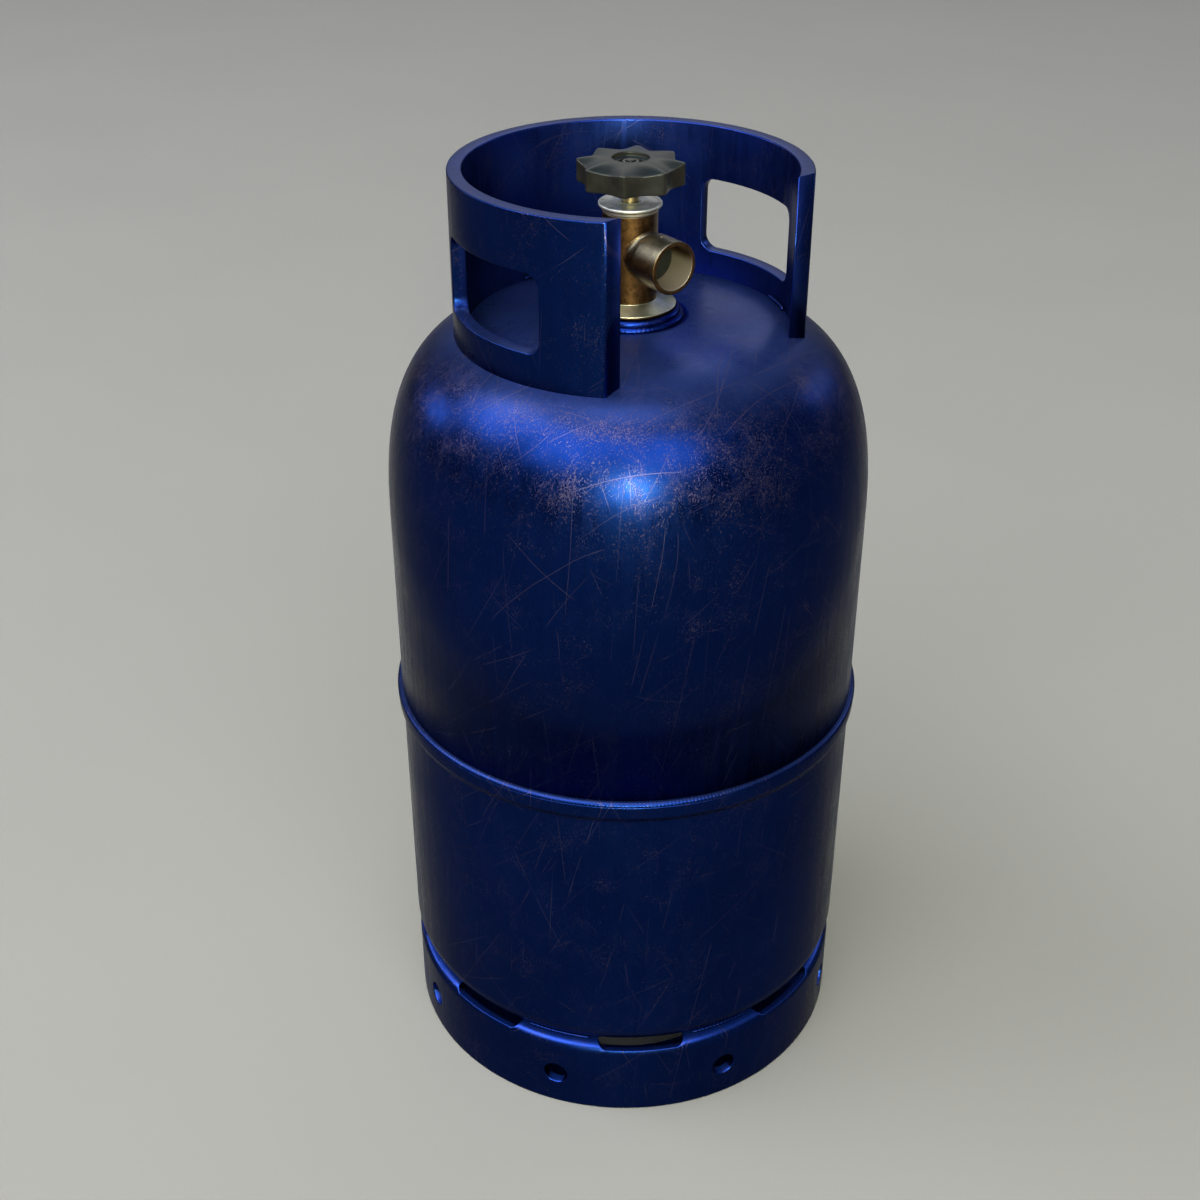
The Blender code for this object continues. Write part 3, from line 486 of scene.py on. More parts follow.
def make_collar():
    """The guard, laid out flat with its hand holes, rolled about the axis and sheared at its two ends."""
    inside = COLLAR_RADIUS - COLLAR_WALL
    start = collar_end(COLLAR_RADIUS)
    length = 2 * (math.pi - start) * COLLAR_RADIUS
    foot_z = dome_height(COLLAR_RADIUS) - COLLAR_SINK
    outline = [(0, foot_z), (length, foot_z), (length, COLLAR_TOP_Z), (0, COLLAR_TOP_Z)]
    low, high = HAND_HOLE_LOW_Z, HAND_HOLE_HIGH_Z
    holes = []
    for side in (math.pi / 2, 3 * math.pi / 2):
        near = (side - HAND_HOLE_HALF_ANGLE - start) * COLLAR_RADIUS
        far = (side + HAND_HOLE_HALF_ANGLE - start) * COLLAR_RADIUS
        corners = [(near, low), (far, low), (far, high), (near, high)]
        holes.append(soften([(x, y, HAND_HOLE_CORNER) for x, y in corners], steps=12))

    def place(x, y, depth):
        radius = inside + COLLAR_WALL * depth
        angle = start + x / COLLAR_RADIUS
        from_end = min(angle - start, 2 * math.pi - start - angle)
        share = max(0.0, 1 - from_end / COLLAR_SHEAR_OVER)
        ease = share * share * (3 - 2 * share)
        if angle < math.pi:
            angle += (collar_end(radius) - start) * ease
        else:
            angle -= (collar_other_end(radius) - start) * ease
        return polar(radius, angle, y)

    columns = evenly(0, length, COLLAR_COLUMN * COLLAR_RADIUS)[1:-1]
    return bent_plate("collar_fine", [outline] + holes, COLLAR_WALL, COLLAR_EDGE, columns, [], place)


def foot_stations():
    """The foot's section: outer and inner points from shoulder to base, and how far along each lies."""
    wall_inside = FOOT_RADIUS - FOOT_WALL
    shoulder_low = FOOT_SHOULDER_Z - FOOT_SHOULDER_THICKNESS
    outer = [(FOOT_SHOULDER_EDGE, FOOT_SHOULDER_Z)]
    inner = [(FOOT_SHOULDER_EDGE, shoulder_low)]
    size = FOOT_ROUNDING
    outer += arc((FOOT_RADIUS - size, FOOT_SHOULDER_Z - size), size, 90, 0, 13)
    size = FOOT_INNER_ROUNDING
    inner += arc((wall_inside - size, shoulder_low - size), size, 90, 0, 13)
    size = FOOT_BASE_ROUNDING
    outer += arc((FOOT_RADIUS - size, size), size, 0, -90, 7)
    size = FOOT_BASE_INNER_ROUNDING
    inner += arc((wall_inside - size, FOOT_BASE_THICKNESS + size), size, 0, -90, 7)
    outer.append((FOOT_BASE_EDGE, 0.0))
    inner.append((FOOT_BASE_EDGE, FOOT_BASE_THICKNESS))
    along = [0.0]
    for near, far in zip(outer, outer[1:]):
        along.append(along[-1] + math.dist(near, far))
    return outer, inner, along


def between(value, keys, points):
    """The point at this value along a broken line of points, whose keys rise."""
    i = 0
    while i < len(keys) - 2 and value > keys[i + 1]:
        i += 1
    share = (value - keys[i]) / (keys[i + 1] - keys[i])
    return [a + (b - a) * share for a, b in zip(points[i], points[i + 1])]


def window_notch(outer, along, rim):
    """One window in the foot's shoulder, as (angle, distance along the section) points."""
    half = FOOT_WINDOW_WIDTH / 2
    mouth = math.sqrt(FOOT_SHOULDER_EDGE ** 2 - half ** 2)
    window = soften([
        (-half, mouth, 0), (-half, FOOT_WINDOW_REACH, FOOT_WINDOW_CORNER),
        (half, FOOT_WINDOW_REACH, FOOT_WINDOW_CORNER), (half, mouth, 0),
    ], closed=False, steps=12)
    reaches = [reach for reach, _ in outer[:rim + 1]]
    notch = []
    for across, reach in window:
        distance = max(FOOT_SHOULDER_EDGE, math.hypot(across, reach))
        depth = between(distance, reaches, [(a,) for a in along])[0]
        notch.append((math.atan2(across, reach), depth))
    return notch


def make_foot_ring():
    """The foot, laid out flat with its windows and holes, rolled about the axis and butted at the back."""
    outer, inner, along = foot_stations()
    turn = 2 * math.pi
    start = math.radians(FOOT_SEAM_ANGLE) - turn
    length = turn * FOOT_RADIUS
    rim = max(range(len(outer)), key=lambda i: outer[i][0])

    def centres(first):
        angles = [math.radians(first + number * 360 / FOOT_DIVISIONS) for number in range(FOOT_DIVISIONS)]
        return [(angle - start) % turn for angle in angles]

    notch = window_notch(outer, along, rim)
    outline = [(0, 0)]
    for centre in sorted(centres(FOOT_WINDOW_START)):
        outline += [((centre + angle) * FOOT_RADIUS, depth) for angle, depth in notch]
    outline += [(length, 0), (length, along[-1]), (0, along[-1])]
    hole_at = along[rim] + (outer[rim][1] - FOOT_HOLE_Z)
    holes = []
    for centre in centres(FOOT_HOLE_START):
        holes.append(arc((centre * FOOT_RADIUS, hole_at), FOOT_HOLE_RADIUS, 0, 350, 36))

    def place(x, y, depth):
        low, high = between(y, along, inner), between(y, along, outer)
        reach, height = [a + (b - a) * depth for a, b in zip(low, high)]
        return polar(reach, start + x * FOOT_TURN_SHARE / FOOT_RADIUS, height)

    columns = evenly(0, length, FOOT_COLUMN * FOOT_RADIUS)[1:-1]
    return bent_plate("foot_ring_fine", [outline] + holes, FOOT_PLATE, FOOT_EDGE, columns, along[1:-1], place)


# ---- pieces of the valve

def make_column():
    low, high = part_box("valve_body")
    profile = soften([
        (BONNET_BORE, high.z, 0), (COLUMN_RADIUS, high.z, 0.0005), (COLUMN_RADIUS, COLUMN_FOOT_Z, 0.0004),
        (high.x, FLANGE_TOP_Z, 0.0006), (high.x, FLANGE_FOOT_Z, 0.0004),
        (STEM_TOP_RADIUS, FLANGE_FOOT_Z, 0.0002), (STEM_FOOT_RADIUS, low.z, 0.0006),
        (INLET_RADIUS, low.z, 0.0004), (INLET_RADIUS, CHAMBER_FOOT_Z, 0),
        (CHAMBER_RADIUS, CHAMBER_FOOT_Z, 0), (CHAMBER_RADIUS, SHOULDER_BORE_FOOT_Z, 0),
        (SHOULDER_BORE, SHOULDER_BORE_FOOT_Z, 0), (SHOULDER_BORE, BONNET_BORE_FOOT_Z, 0),
        (BONNET_BORE, BONNET_BORE_FOOT_Z, 0),
    ])
    return turned("valve_column", profile)


def make_outlet():
    """The barrel with its bore, rolled mouth and rounded back, and the fillet from its neck to the column."""
    back = OUTLET_NECK_REACH + OUTLET_BACK_ROUNDING
    profile = [(0.0, OUTLET_BORE_FOOT), (0.004, OUTLET_BORE_FOOT)]
    profile += soften([
        (0.011, OUTLET_BORE_FOOT, 0), (OUTLET_BORE, OUTLET_BORE_FOOT, 0.0003),
        (OUTLET_BORE, OUTLET_REACH, 0.0005), (OUTLET_RADIUS, OUTLET_REACH, 0.0007),
        (OUTLET_RADIUS, back + 0.004, 0),
    ], closed=False)
    profile += arc((OUTLET_RADIUS - OUTLET_BACK_ROUNDING, back), OUTLET_BACK_ROUNDING, 0, -58, 10)
    profile += [(OUTLET_NECK_RADIUS, OUTLET_NECK_REACH + 0.00015)]
    # A ball of the fillet's radius, rolled round the neck and against the column, leaves the fillet behind
    ball_from_neck = OUTLET_NECK_RADIUS + NECK_FILLET
    ball_from_axis = COLUMN_RADIUS + NECK_FILLET
    rows = [("turned", reach, out) for reach, out in profile]
    rows += [("fillet", step / FILLET_STEPS, 0) for step in range(FILLET_STEPS + 1)]
    # The last two rows close the barrel inside the column
    rows += [("inside", NECK_SINK, 0), ("centre", 0, 0)]

    def place(row, angle):
        kind, first, second = row
        side, up = math.cos(angle), math.sin(angle)
        if kind == "turned":
            return Vector((first * side, -second, OUTLET_Z + first * up))
        if kind == "centre":
            return Vector((0, -NECK_SINK * COLUMN_RADIUS, OUTLET_Z))
        out = math.sqrt(ball_from_axis ** 2 - (ball_from_neck * side) ** 2)
        ball = Vector((ball_from_neck * side, -out, OUTLET_Z + ball_from_neck * up))
        if kind == "fillet":
            to_neck = Vector((-side, 0, -up))
            to_column = Vector((-ball.x, -ball.y, 0)) / ball_from_axis
            return ball + NECK_FILLET * to_neck.slerp(to_column, first)
        scale = COLUMN_RADIUS / ball_from_axis
        height = OUTLET_Z + (ball.z - OUTLET_Z) * first
        return Vector((ball.x * scale * first, ball.y * scale * first, height))

    return ring_surface("outlet_barrel", rows, 144, place, joined=False)


def make_pip():
    """The small casting pip on top of the barrel."""
    pip = turned("barrel_pip", [
        (0.0, 0.00045), (0.0005, 0.00040), (0.0009, 0.00020), (0.0013, -0.0002), (0.0013, -0.0006),
        (0.0, -0.0006),
    ], 32, closed=False)
    pip.data.transform(Matrix.Translation((0, -PIP_REACH, OUTLET_Z + OUTLET_RADIUS)))
    return pip


def make_outlet_seal():
    low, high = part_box("outlet_seal")
    thick = high.y - low.y
    seal = turned("outlet_seal_fine", soften([
        (SEAL_HOLE, thick, 0.0004), (SEAL_RADIUS, thick, 0.0005),
        (SEAL_RADIUS, 0, 0.0002), (SEAL_HOLE, 0, 0.0002),
    ]))
    seal.data.transform(Matrix.Translation((0, high.y, OUTLET_Z)) @ Matrix.Rotation(math.pi / 2, 4, "X"))
    return seal


def make_bonnet():
    """A flat disc with a rolled rim on a short neck, its middle a little dished."""
    low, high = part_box("bonnet")
    edge, top = high.x, high.z - BONNET_RIM_DROP
    dish = top - BONNET_DISH
    rim_foot = top - BONNET_RIM_THICKNESS
    profile = soften([
        (SPINDLE_BORE, high.z, 0.0003), (0.0066, high.z, 0.0004), (0.0074, dish, 0.0006),
        (0.0162, dish, 0.002), (0.0174, top, 0.0004), (edge, top, 0.0009), (edge, rim_foot, 0.0007),
        (BONNET_NECK_RADIUS, rim_foot - 0.0005, 0.0003), (BONNET_NECK_RADIUS, BONNET_SEAT_Z, 0.0003),
        (BONNET_SKIRT_RADIUS, BONNET_SEAT_Z, 0), (BONNET_SKIRT_RADIUS, low.z, 0.0003),
        (SPINDLE_BORE, low.z, 0.0003),
    ])
    return turned("bonnet_fine", profile)


def make_spindle():
    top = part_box("spindle")[1].z
    profile = soften([
        (0.0, top, 0), (SPINDLE_THREAD_RADIUS, top, 0.0004), (SPINDLE_THREAD_RADIUS, SPINDLE_STEP_Z, 0),
        (SPINDLE_RADIUS, SPINDLE_STEP_Z, 0.0004), (SPINDLE_RADIUS, O_RING_GROOVE_TOP_Z, 0.0002),
        (O_RING_GROOVE_RADIUS, O_RING_GROOVE_TOP_Z, 0), (O_RING_GROOVE_RADIUS, O_RING_GROOVE_FOOT_Z, 0),
        (SPINDLE_RADIUS, O_RING_GROOVE_FOOT_Z, 0.0002), (SPINDLE_RADIUS, SPINDLE_SHOULDER_TOP_Z, 0),
        (SPINDLE_SHOULDER_RADIUS, SPINDLE_SHOULDER_TOP_Z, 0.0003),
        (SPINDLE_SHOULDER_RADIUS, SPINDLE_SHOULDER_FOOT_Z, 0.0003), (0.0, SPINDLE_SHOULDER_FOOT_Z, 0),
    ], closed=False)
    return turned("spindle_fine", profile, SMALL_ROUND_STEPS, closed=False)


def rounded_box(name, size, height, rounding=0.0003):
    """A box with rounded edges, centred on the axis at this height."""
    shape = bmesh.new()
    bmesh.ops.create_cube(shape, size=1.0)
    bmesh.ops.scale(shape, vec=size, verts=shape.verts)
    bmesh.ops.bevel(shape, geom=shape.edges, offset=rounding, segments=2, profile=0.5, affect="EDGES")
    bmesh.ops.translate(shape, vec=(0, 0, height), verts=shape.verts)
    return from_bmesh(name, shape)


def scallop(angle):
    """How far the wheel's rim is cut in here: 0 on its 8 narrow peaks, 1 in the middle of the hollows."""
    to_peak = abs((angle * WHEEL_LOBES / (2 * math.pi) + 0.5) % 1 - 0.5) * 2
    blunt = WHEEL_LOBE_BLUNTNESS
    share = (math.sqrt(to_peak * to_peak + blunt * blunt) - blunt) / (math.sqrt(1 + blunt * blunt) - blunt)
    return 1 - (1 - share) ** 2


def make_handwheel():
    """The moulded wheel: a crowned top with ridges out to its peaks, hollow flanks, a recess and a hub."""
    top, foot = WHEEL_TOP_Z, WHEEL_FOOT_Z
    rim_foot = foot + WHEEL_RIM_LIFT
    shoulder = WHEEL_RADIUS - WHEEL_EDGE
    shoulder_z = top - WHEEL_CROWN
    flank_top = shoulder_z - WHEEL_EDGE
    flank_foot = rim_foot + WHEEL_FOOT_EDGE
    recess = soften([
        (NUT_RECESS_HOLE, BUSH_TOP_Z, 0), (NUT_RECESS_HOLE, NUT_RECESS_Z, 0.0002),
        (NUT_RECESS_RADIUS, NUT_RECESS_Z, 0.0006), (NUT_RECESS_RADIUS, top, 0.0007),
        (WHEEL_TOP_START, top, 0),
    ], closed=False)
    underside = soften([
        (0.0255, rim_foot, 0), (WHEEL_RIM_INSIDE, rim_foot, 0.0006), (WHEEL_RIM_INSIDE, WHEEL_WEB_Z, 0.0010),
        (HUB_RADIUS, WHEEL_WEB_Z, 0.0010), (HUB_RADIUS, foot, 0.0006), (HUB_BORE, foot, 0.0003),
        (HUB_BORE, BUSH_TOP_Z, 0),
    ], closed=False)

    # Each row is radius, height, how far the hollows cut in, and how far the top dips in them
    rows = [(reach, height, 0.0, 0.0) for reach, height in recess]
    for step in range(1, WHEEL_TOP_STEPS + 1):
        share = step / WHEEL_TOP_STEPS
        reach = WHEEL_TOP_START + (shoulder - WHEEL_TOP_START) * share
        rows.append((reach, top + (shoulder_z - top) * share ** 2, share, share ** 1.3))
    for reach, height in arc((shoulder, flank_top), WHEEL_EDGE, 75, 0, 7):
        rows.append((reach, height, 1.0, 1.0))
    for height in evenly(flank_top - 0.001, flank_foot, 0.002):
        rows.append((WHEEL_RADIUS, height, 1.0, 0.55 * (height - rim_foot) / (shoulder_z - rim_foot)))
    for reach, height in arc((WHEEL_RADIUS - WHEEL_FOOT_EDGE, flank_foot), WHEEL_FOOT_EDGE, -15, -90, 5):
        rows.append((reach, height, 1.0, 0.0))
    rows += [(reach, height, 0.0, 0.0) for reach, height in underside]

    def place(row, angle):
        reach, height, cut, dip = row
        hollow = scallop(angle)
        return polar(reach - cut * WHEEL_LOBE_DEPTH * hollow, angle, height - dip * WHEEL_DIP * hollow)

    return ring_surface("handwheel_fine", rows, 512, place, joined=True)


def make_nut():
    """A hexagon nut with a countersunk bore, its top corners chamfered at 30 degrees."""
    low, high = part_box("wheel_nut")
    chamfer = math.tan(math.radians(30))
    rows = [
        ("round", NUT_BORE, high.z - NUT_COUNTERSINK), ("round", NUT_MOUTH, high.z),
        ("round", NUT_FACE, high.z), ("chamfer", 0, 0), ("side", 0, 0), ("foot", 0, 0),
        ("round", NUT_MOUTH, low.z), ("round", NUT_BORE, low.z + NUT_COUNTERSINK),
    ]

    def place(row, angle):
        kind, reach, height = row
        if kind == "round":
            return polar(reach, angle, height)
        turn = (angle + math.pi / 6) % (math.pi / 3) - math.pi / 6
        corner = NUT_HALF_WIDTH / math.cos(turn) - NUT_PLAY
        top = high.z - (corner - NUT_FACE) * chamfer
        heights = {"chamfer": top, "side": (top + low.z) / 2, "foot": low.z}
        return polar(corner, angle, heights[kind])

    return ring_surface("wheel_nut_fine", rows, 180, place, joined=True)


def make_wheel_washer():
    low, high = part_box("wheel_washer")
    profile = soften([
        (WASHER_BORE, high.z, 0.0002), (high.x, high.z, 0.0003),
        (high.x, low.z, 0.0003), (WASHER_BORE, low.z, 0.0002),
    ])
    return turned("wheel_washer_fine", profile, SMALL_ROUND_STEPS)


# ---- materials

class Nodes:
    """A material's node tree, with one short call for each kind of node."""

    def __init__(self, name):
        self.material = bpy.data.materials.new(name)
        self.material.use_nodes = True
        self.tree = self.material.node_tree
        self.shader = self.tree.nodes["Principled BSDF"]
        self.place = self.add("ShaderNodeTexCoord").outputs["Object"]
        self.normal = self.add("ShaderNodeNewGeometry").outputs["Normal"]

    def add(self, kind, inputs=None, **settings):
        node = self.tree.nodes.new(kind)
        for name, value in settings.items():
            setattr(node, name, value)
        for name, value in (inputs or {}).items():
            self.feed(node.inputs[name], value)
        return node

    def feed(self, socket, value):
        if isinstance(value, bpy.types.NodeSocket):
            self.tree.links.new(value, socket)
        else:
            socket.default_value = value

    def noise(self, scale, detail=3.0, roughness=0.5, distortion=0.0, at=None):
        node = self.add("ShaderNodeTexNoise", {
            "Vector": at or self.place, "Scale": scale, "Detail": detail, "Roughness": roughness,
            "Distortion": distortion,
        })
        return node.outputs["Fac"]

    def ramp(self, value, low, high, low_out=0.0, high_out=1.0):
        node = self.add("ShaderNodeMapRange", {
            "Value": value, "From Min": low, "From Max": high, "To Min": low_out, "To Max": high_out,
        }, interpolation_type="SMOOTHSTEP")
        return node.outputs["Result"]

    def math(self, operation, first, second=0.0):
        node = self.add("ShaderNodeMath", operation=operation)
        self.feed(node.inputs[0], first)
        self.feed(node.inputs[1], second)
        return node.outputs[0]

    def chain(self, operation, values):
        result = values[0]
        for value in values[1:]:
            result = self.math(operation, result, value)
        return result

    def times(self, *values):
        return self.chain("MULTIPLY", values)

    def plus(self, *values):
        return self.chain("ADD", values)

    def minus(self, first, second):
        return self.math("SUBTRACT", first, second)

    def most(self, *values):
        return self.chain("MAXIMUM", values)

    def vector_math(self, operation, *vectors):
        node = self.add("ShaderNodeVectorMath", operation=operation)
        for socket, vector in zip(node.inputs, vectors):
            self.feed(socket, vector)
        return node

    def along(self, vector, way):
        """How far the vector reaches in this way."""
        return self.vector_math("DOT_PRODUCT", vector, way).outputs["Value"]

    def part(self, vector, axis):
        return self.add("ShaderNodeSeparateXYZ", {"Vector": vector}).outputs[axis]

    def mix(self, share, first, second):
        node = self.add("ShaderNodeMix", data_type="RGBA")
        self.feed(node.inputs["Factor"], share)
        for socket, colour in (("A", first), ("B", second)):
            self.feed(node.inputs[socket], (*colour, 1.0) if isinstance(colour, tuple) else colour)
        return node.outputs["Result"]

    def stretched(self, turn, stretch):
        """The object's coordinates turned by these angles and then scaled, for grain that runs one way."""
        angles = [math.radians(a) for a in turn]
        turned_place = self.add("ShaderNodeMapping", {"Vector": self.place, "Rotation": angles})
        scaled = self.add("ShaderNodeMapping", {"Vector": turned_place.outputs["Vector"], "Scale": stretch})
        return scaled.outputs["Vector"]

    def wavy(self, scale, amount):
        """The object's coordinates pushed about a little."""
        push = self.add("ShaderNodeTexNoise", {"Vector": self.place, "Scale": scale, "Detail": 2.0})
        moved = self.vector_math("MULTIPLY_ADD", push.outputs["Color"], (amount, amount, amount), self.place)
        return moved.outputs["Vector"]

    def height(self):
        return self.part(self.place, "Z")

    def normal_z(self):
        return self.part(self.normal, "Z")

    def reach(self):
        """Distance from the tank's axis."""
        return self.vector_math("LENGTH", self.stretched((0, 0, 0), (1.0, 1.0, 0.0))).outputs["Value"]

    def bump(self, height, strength, distance):
        node = self.add("ShaderNodeBump", {"Height": height, "Strength": strength, "Distance": distance})
        self.feed(self.shader.inputs["Normal"], node.outputs["Normal"])

    def finish(self, **inputs):
        for name, value in inputs.items():
            if isinstance(value, tuple):
                value = (*value, 1.0)
            self.feed(self.shader.inputs[name.replace("_", " ")], value)
        return self.material


def scratches(nodes, place, lean, spacing, rarity):
    """Thin lines where the surface meets parallel planes, each line shifted and broken up in its own way."""
    away = tuple(Euler([math.radians(a) for a in lean]).to_matrix()[2])
    across = nodes.math("DIVIDE", nodes.along(place, away), spacing)
    number = nodes.math("FLOOR", across)
    chance = nodes.add("ShaderNodeTexWhiteNoise", {"W": number}, noise_dimensions="1D").outputs["Value"]
    middle = nodes.plus(nodes.times(chance, 0.7), 0.15)
    off = nodes.math("ABSOLUTE", nodes.minus(nodes.math("FRACT", across), middle))
    line = nodes.ramp(off, SCRATCH_CORE / spacing, SCRATCH_EDGE / spacing, 1.0, 0.0)
    breaks = nodes.add("ShaderNodeTexNoise", {
        "Vector": nodes.place, "W": nodes.times(number, 3.7), "Scale": 13.0, "Detail": 2.0, "Roughness": 0.55,
    }, noise_dimensions="4D").outputs["Fac"]
    shown = nodes.ramp(breaks, rarity, rarity + 0.05)
    # Planes that the surface runs along would smear their lines, so those fade out
    square_on = nodes.math("ABSOLUTE", nodes.along(nodes.normal, away))
    slanted = nodes.ramp(square_on, 0.75, 0.93, 1.0, 0.0)
    strength = nodes.ramp(chance, 0.0, 1.0, 0.40, 1.0)
    return nodes.times(line, shown, slanted, strength)


def flakes(nodes, clump, height):
    """Small flakes of lost enamel, in clumps, and most of all low on the dome's shoulder."""
    shoulder = nodes.times(nodes.ramp(height, 0.435, 0.475), nodes.ramp(height, 0.516, 0.500))
    grains = [nodes.noise(1500.0, detail=2.0, roughness=0.6, distortion=0.3)]
    for turn in FLAKE_TURNS:
        dashes = nodes.noise(1.0, detail=1.5, at=nodes.stretched(turn, FLAKE_STRETCH))
        grains.append(nodes.minus(dashes, 0.02))
    density = nodes.plus(nodes.times(clump, 0.45), nodes.times(shoulder, 0.065))
    return nodes.times(nodes.ramp(nodes.plus(nodes.most(*grains), density), 0.930, 0.965), 0.95)


def painted_reflection_mask(nodes, inside, top):
    """Painted reflection: lighter enamel where it faces up, and a thinner share of it inside the guard; none
    close to the boss.
    """
    from_axis = nodes.reach()
    cloudy = nodes.ramp(nodes.noise(35.0, detail=5.0), 0.25, 0.75, 0.85, 1.0)
    off_boss = nodes.ramp(from_axis, 0.0340, 0.0370)
    thinner_outside = nodes.ramp(from_axis, 0.080, 0.125, 1.0, 0.60)
    return nodes.times(nodes.most(nodes.times(inside, 0.25), top), cloudy, off_boss, thinner_outside)


def blue_paint():
    """Deep metallic blue enamel with crossing scratches, flakes and dust, a painted reflection inside the
    guard and where it faces up, and one on the foot's top.
    """
    nodes = Nodes("blue_paint")
    height = nodes.height()
    wavy = nodes.wavy(9.0, 0.006)
    lines = nodes.most(*[scratches(nodes, wavy, *family) for family in SCRATCH_FAMILIES])
    clump = nodes.noise(38.0, detail=8.0, roughness=0.72)
    marks = nodes.most(nodes.times(lines, 0.75), flakes(nodes, clump, height))
    dust = nodes.times(
        nodes.ramp(nodes.noise(1300.0, detail=3.0, roughness=0.7), 0.56, 0.68),
        nodes.ramp(clump, 0.42, 0.66, 0.08, 0.42),
    )
    bare = nodes.most(marks, dust)

    # Painted reflection inside the guard: this mask mixes the enamel there towards a lighter blue
    inside = nodes.times(nodes.ramp(nodes.reach(), 0.1040, 0.0985), nodes.ramp(height, 0.49, 0.51))
    # Painted reflection where the enamel faces up: this mask picks the faces that look up
    top = nodes.ramp(nodes.normal_z(), 0.60, 0.97)
    # Painted reflection on the foot's up-facing top: this mask mixes it towards a bright blue
    foot = nodes.times(top, nodes.ramp(height, 0.070, 0.060))
    painted_reflection = painted_reflection_mask(nodes, inside, top)
    colour = nodes.mix(nodes.ramp(nodes.noise(7.0), 0.35, 0.65), ENAMEL, ENAMEL_CLOUD)
    colour = nodes.mix(nodes.times(inside, 0.7), colour, ENAMEL_INSIDE_PAINTED_REFLECTION)
    # Painted reflection: a lighter blue where the enamel faces up and inside the guard
    colour = nodes.mix(painted_reflection, colour, ENAMEL_PAINTED_REFLECTION)
    colour = nodes.mix(foot, colour, ENAMEL_FOOT_PAINTED_REFLECTION)
    colour = nodes.mix(bare, colour, BARE_METAL)

    smudge = nodes.noise(11.0, detail=7.0, roughness=0.65)
    streaks = nodes.noise(1.0, detail=4.0, roughness=0.6, at=nodes.stretched((0, 0, 0), (170.0, 170.0, 9.0)))
    rough = nodes.plus(
        nodes.ramp(smudge, 0.35, 0.70, 0.24, 0.36), nodes.times(bare, 0.15),
        nodes.ramp(streaks, 0.3, 0.7, -0.03, 0.05),
    )
    orange_peel = nodes.noise(1400.0, detail=2.0)
    surface = nodes.minus(nodes.times(orange_peel, 0.25), nodes.times(marks, 0.35))
    nodes.bump(nodes.plus(surface, nodes.times(streaks, 0.9)), 0.35, 0.00007)
    # The painted reflection also takes a little metal out there
    metallic = nodes.minus(1.0, nodes.times(painted_reflection, 0.28))
    tint = (0.55, 0.55, 0.55)
    return nodes.finish(Base_Color=colour, Roughness=rough, Metallic=metallic, Specular_Tint=tint)


def bore_painted_reflection(nodes):
    """How far the surface takes the painted reflection in the outlet's bore, past its mouth; its roof keeps
    the darker colour as painted shade.
    """
    across = nodes.add("ShaderNodeMapping", {
        "Vector": nodes.place, "Location": (0.0, 0.0, -OUTLET_Z), "Scale": (1.0, 0.0, 1.0),
    }).outputs["Vector"]
    from_barrel_axis = nodes.vector_math("LENGTH", across).outputs["Value"]
    in_bore = nodes.ramp(from_barrel_axis, OUTLET_BORE + 0.00035, OUTLET_BORE + 0.00005)
    past_column = nodes.ramp(nodes.part(nodes.place, "Y"), -0.0195, -0.0215)
    return nodes.times(in_bore, past_column, nodes.ramp(nodes.normal_z(), -0.55, 0.05))


def brass(
    name, warm, pale, grain, facing_from=0.10, gloss=0.30, bore=None, flange_below=None, soiled_above=None,
):
    """Brass gone copper-brown on its sides, painted pale where it faces up as a painted highlight, with a
    painted reflection in the bore.
    """
    nodes = Nodes(name)
    coarse = nodes.noise(260.0, detail=5.0, roughness=0.65)
    fine = nodes.noise(1500.0, roughness=0.6)
    stain = nodes.noise(120.0, detail=4.0, roughness=0.7)
    side = nodes.mix(nodes.ramp(coarse, 0.38, 0.62), tuple(0.50 * part for part in warm), warm)
    top = nodes.mix(nodes.ramp(stain, 0.40, 0.65), pale, tuple(0.62 * part for part in pale))
    wander = nodes.times(nodes.minus(stain, 0.5), 0.5)
    # Painted highlight: faces that look up take the pale colour
    painted_top_light = nodes.ramp(nodes.plus(nodes.normal_z(), wander), facing_from, facing_from + 0.50)
    colour = nodes.mix(painted_top_light, side, top)
    metallic = 1.0
    if flange_below:
        # Olive patina on the flange's up-facing top, made paler as painted light where the guard keeps light
        # off
        flange = nodes.times(nodes.ramp(nodes.height(), flange_below, flange_below - 0.0004), painted_top_light)
        tarnish_and_painted_light = nodes.mix(nodes.ramp(stain, 0.35, 0.70), (0.46, 0.46, 0.35), (0.31, 0.33, 0.20))
        colour = nodes.mix(flange, colour, tarnish_and_painted_light)
    if bore:
        # Painted reflection: the bore takes a paler colour and less metal
        bore_reflection = bore_painted_reflection(nodes)
        colour = nodes.mix(bore_reflection, colour, bore)
        metallic = nodes.minus(1.0, nodes.times(bore_reflection, 0.55))
    if soiled_above:
        soiled = nodes.ramp(nodes.height(), soiled_above, soiled_above + 0.0006)
        colour = nodes.mix(soiled, colour, (0.016, 0.018, 0.020))
    nodes.bump(nodes.plus(nodes.times(coarse, 0.5), fine), grain, 0.00012)
    rough = nodes.ramp(fine, 0.30, 0.70, gloss, gloss + 0.14)
    return nodes.finish(Base_Color=colour, Roughness=rough, Metallic=metallic)


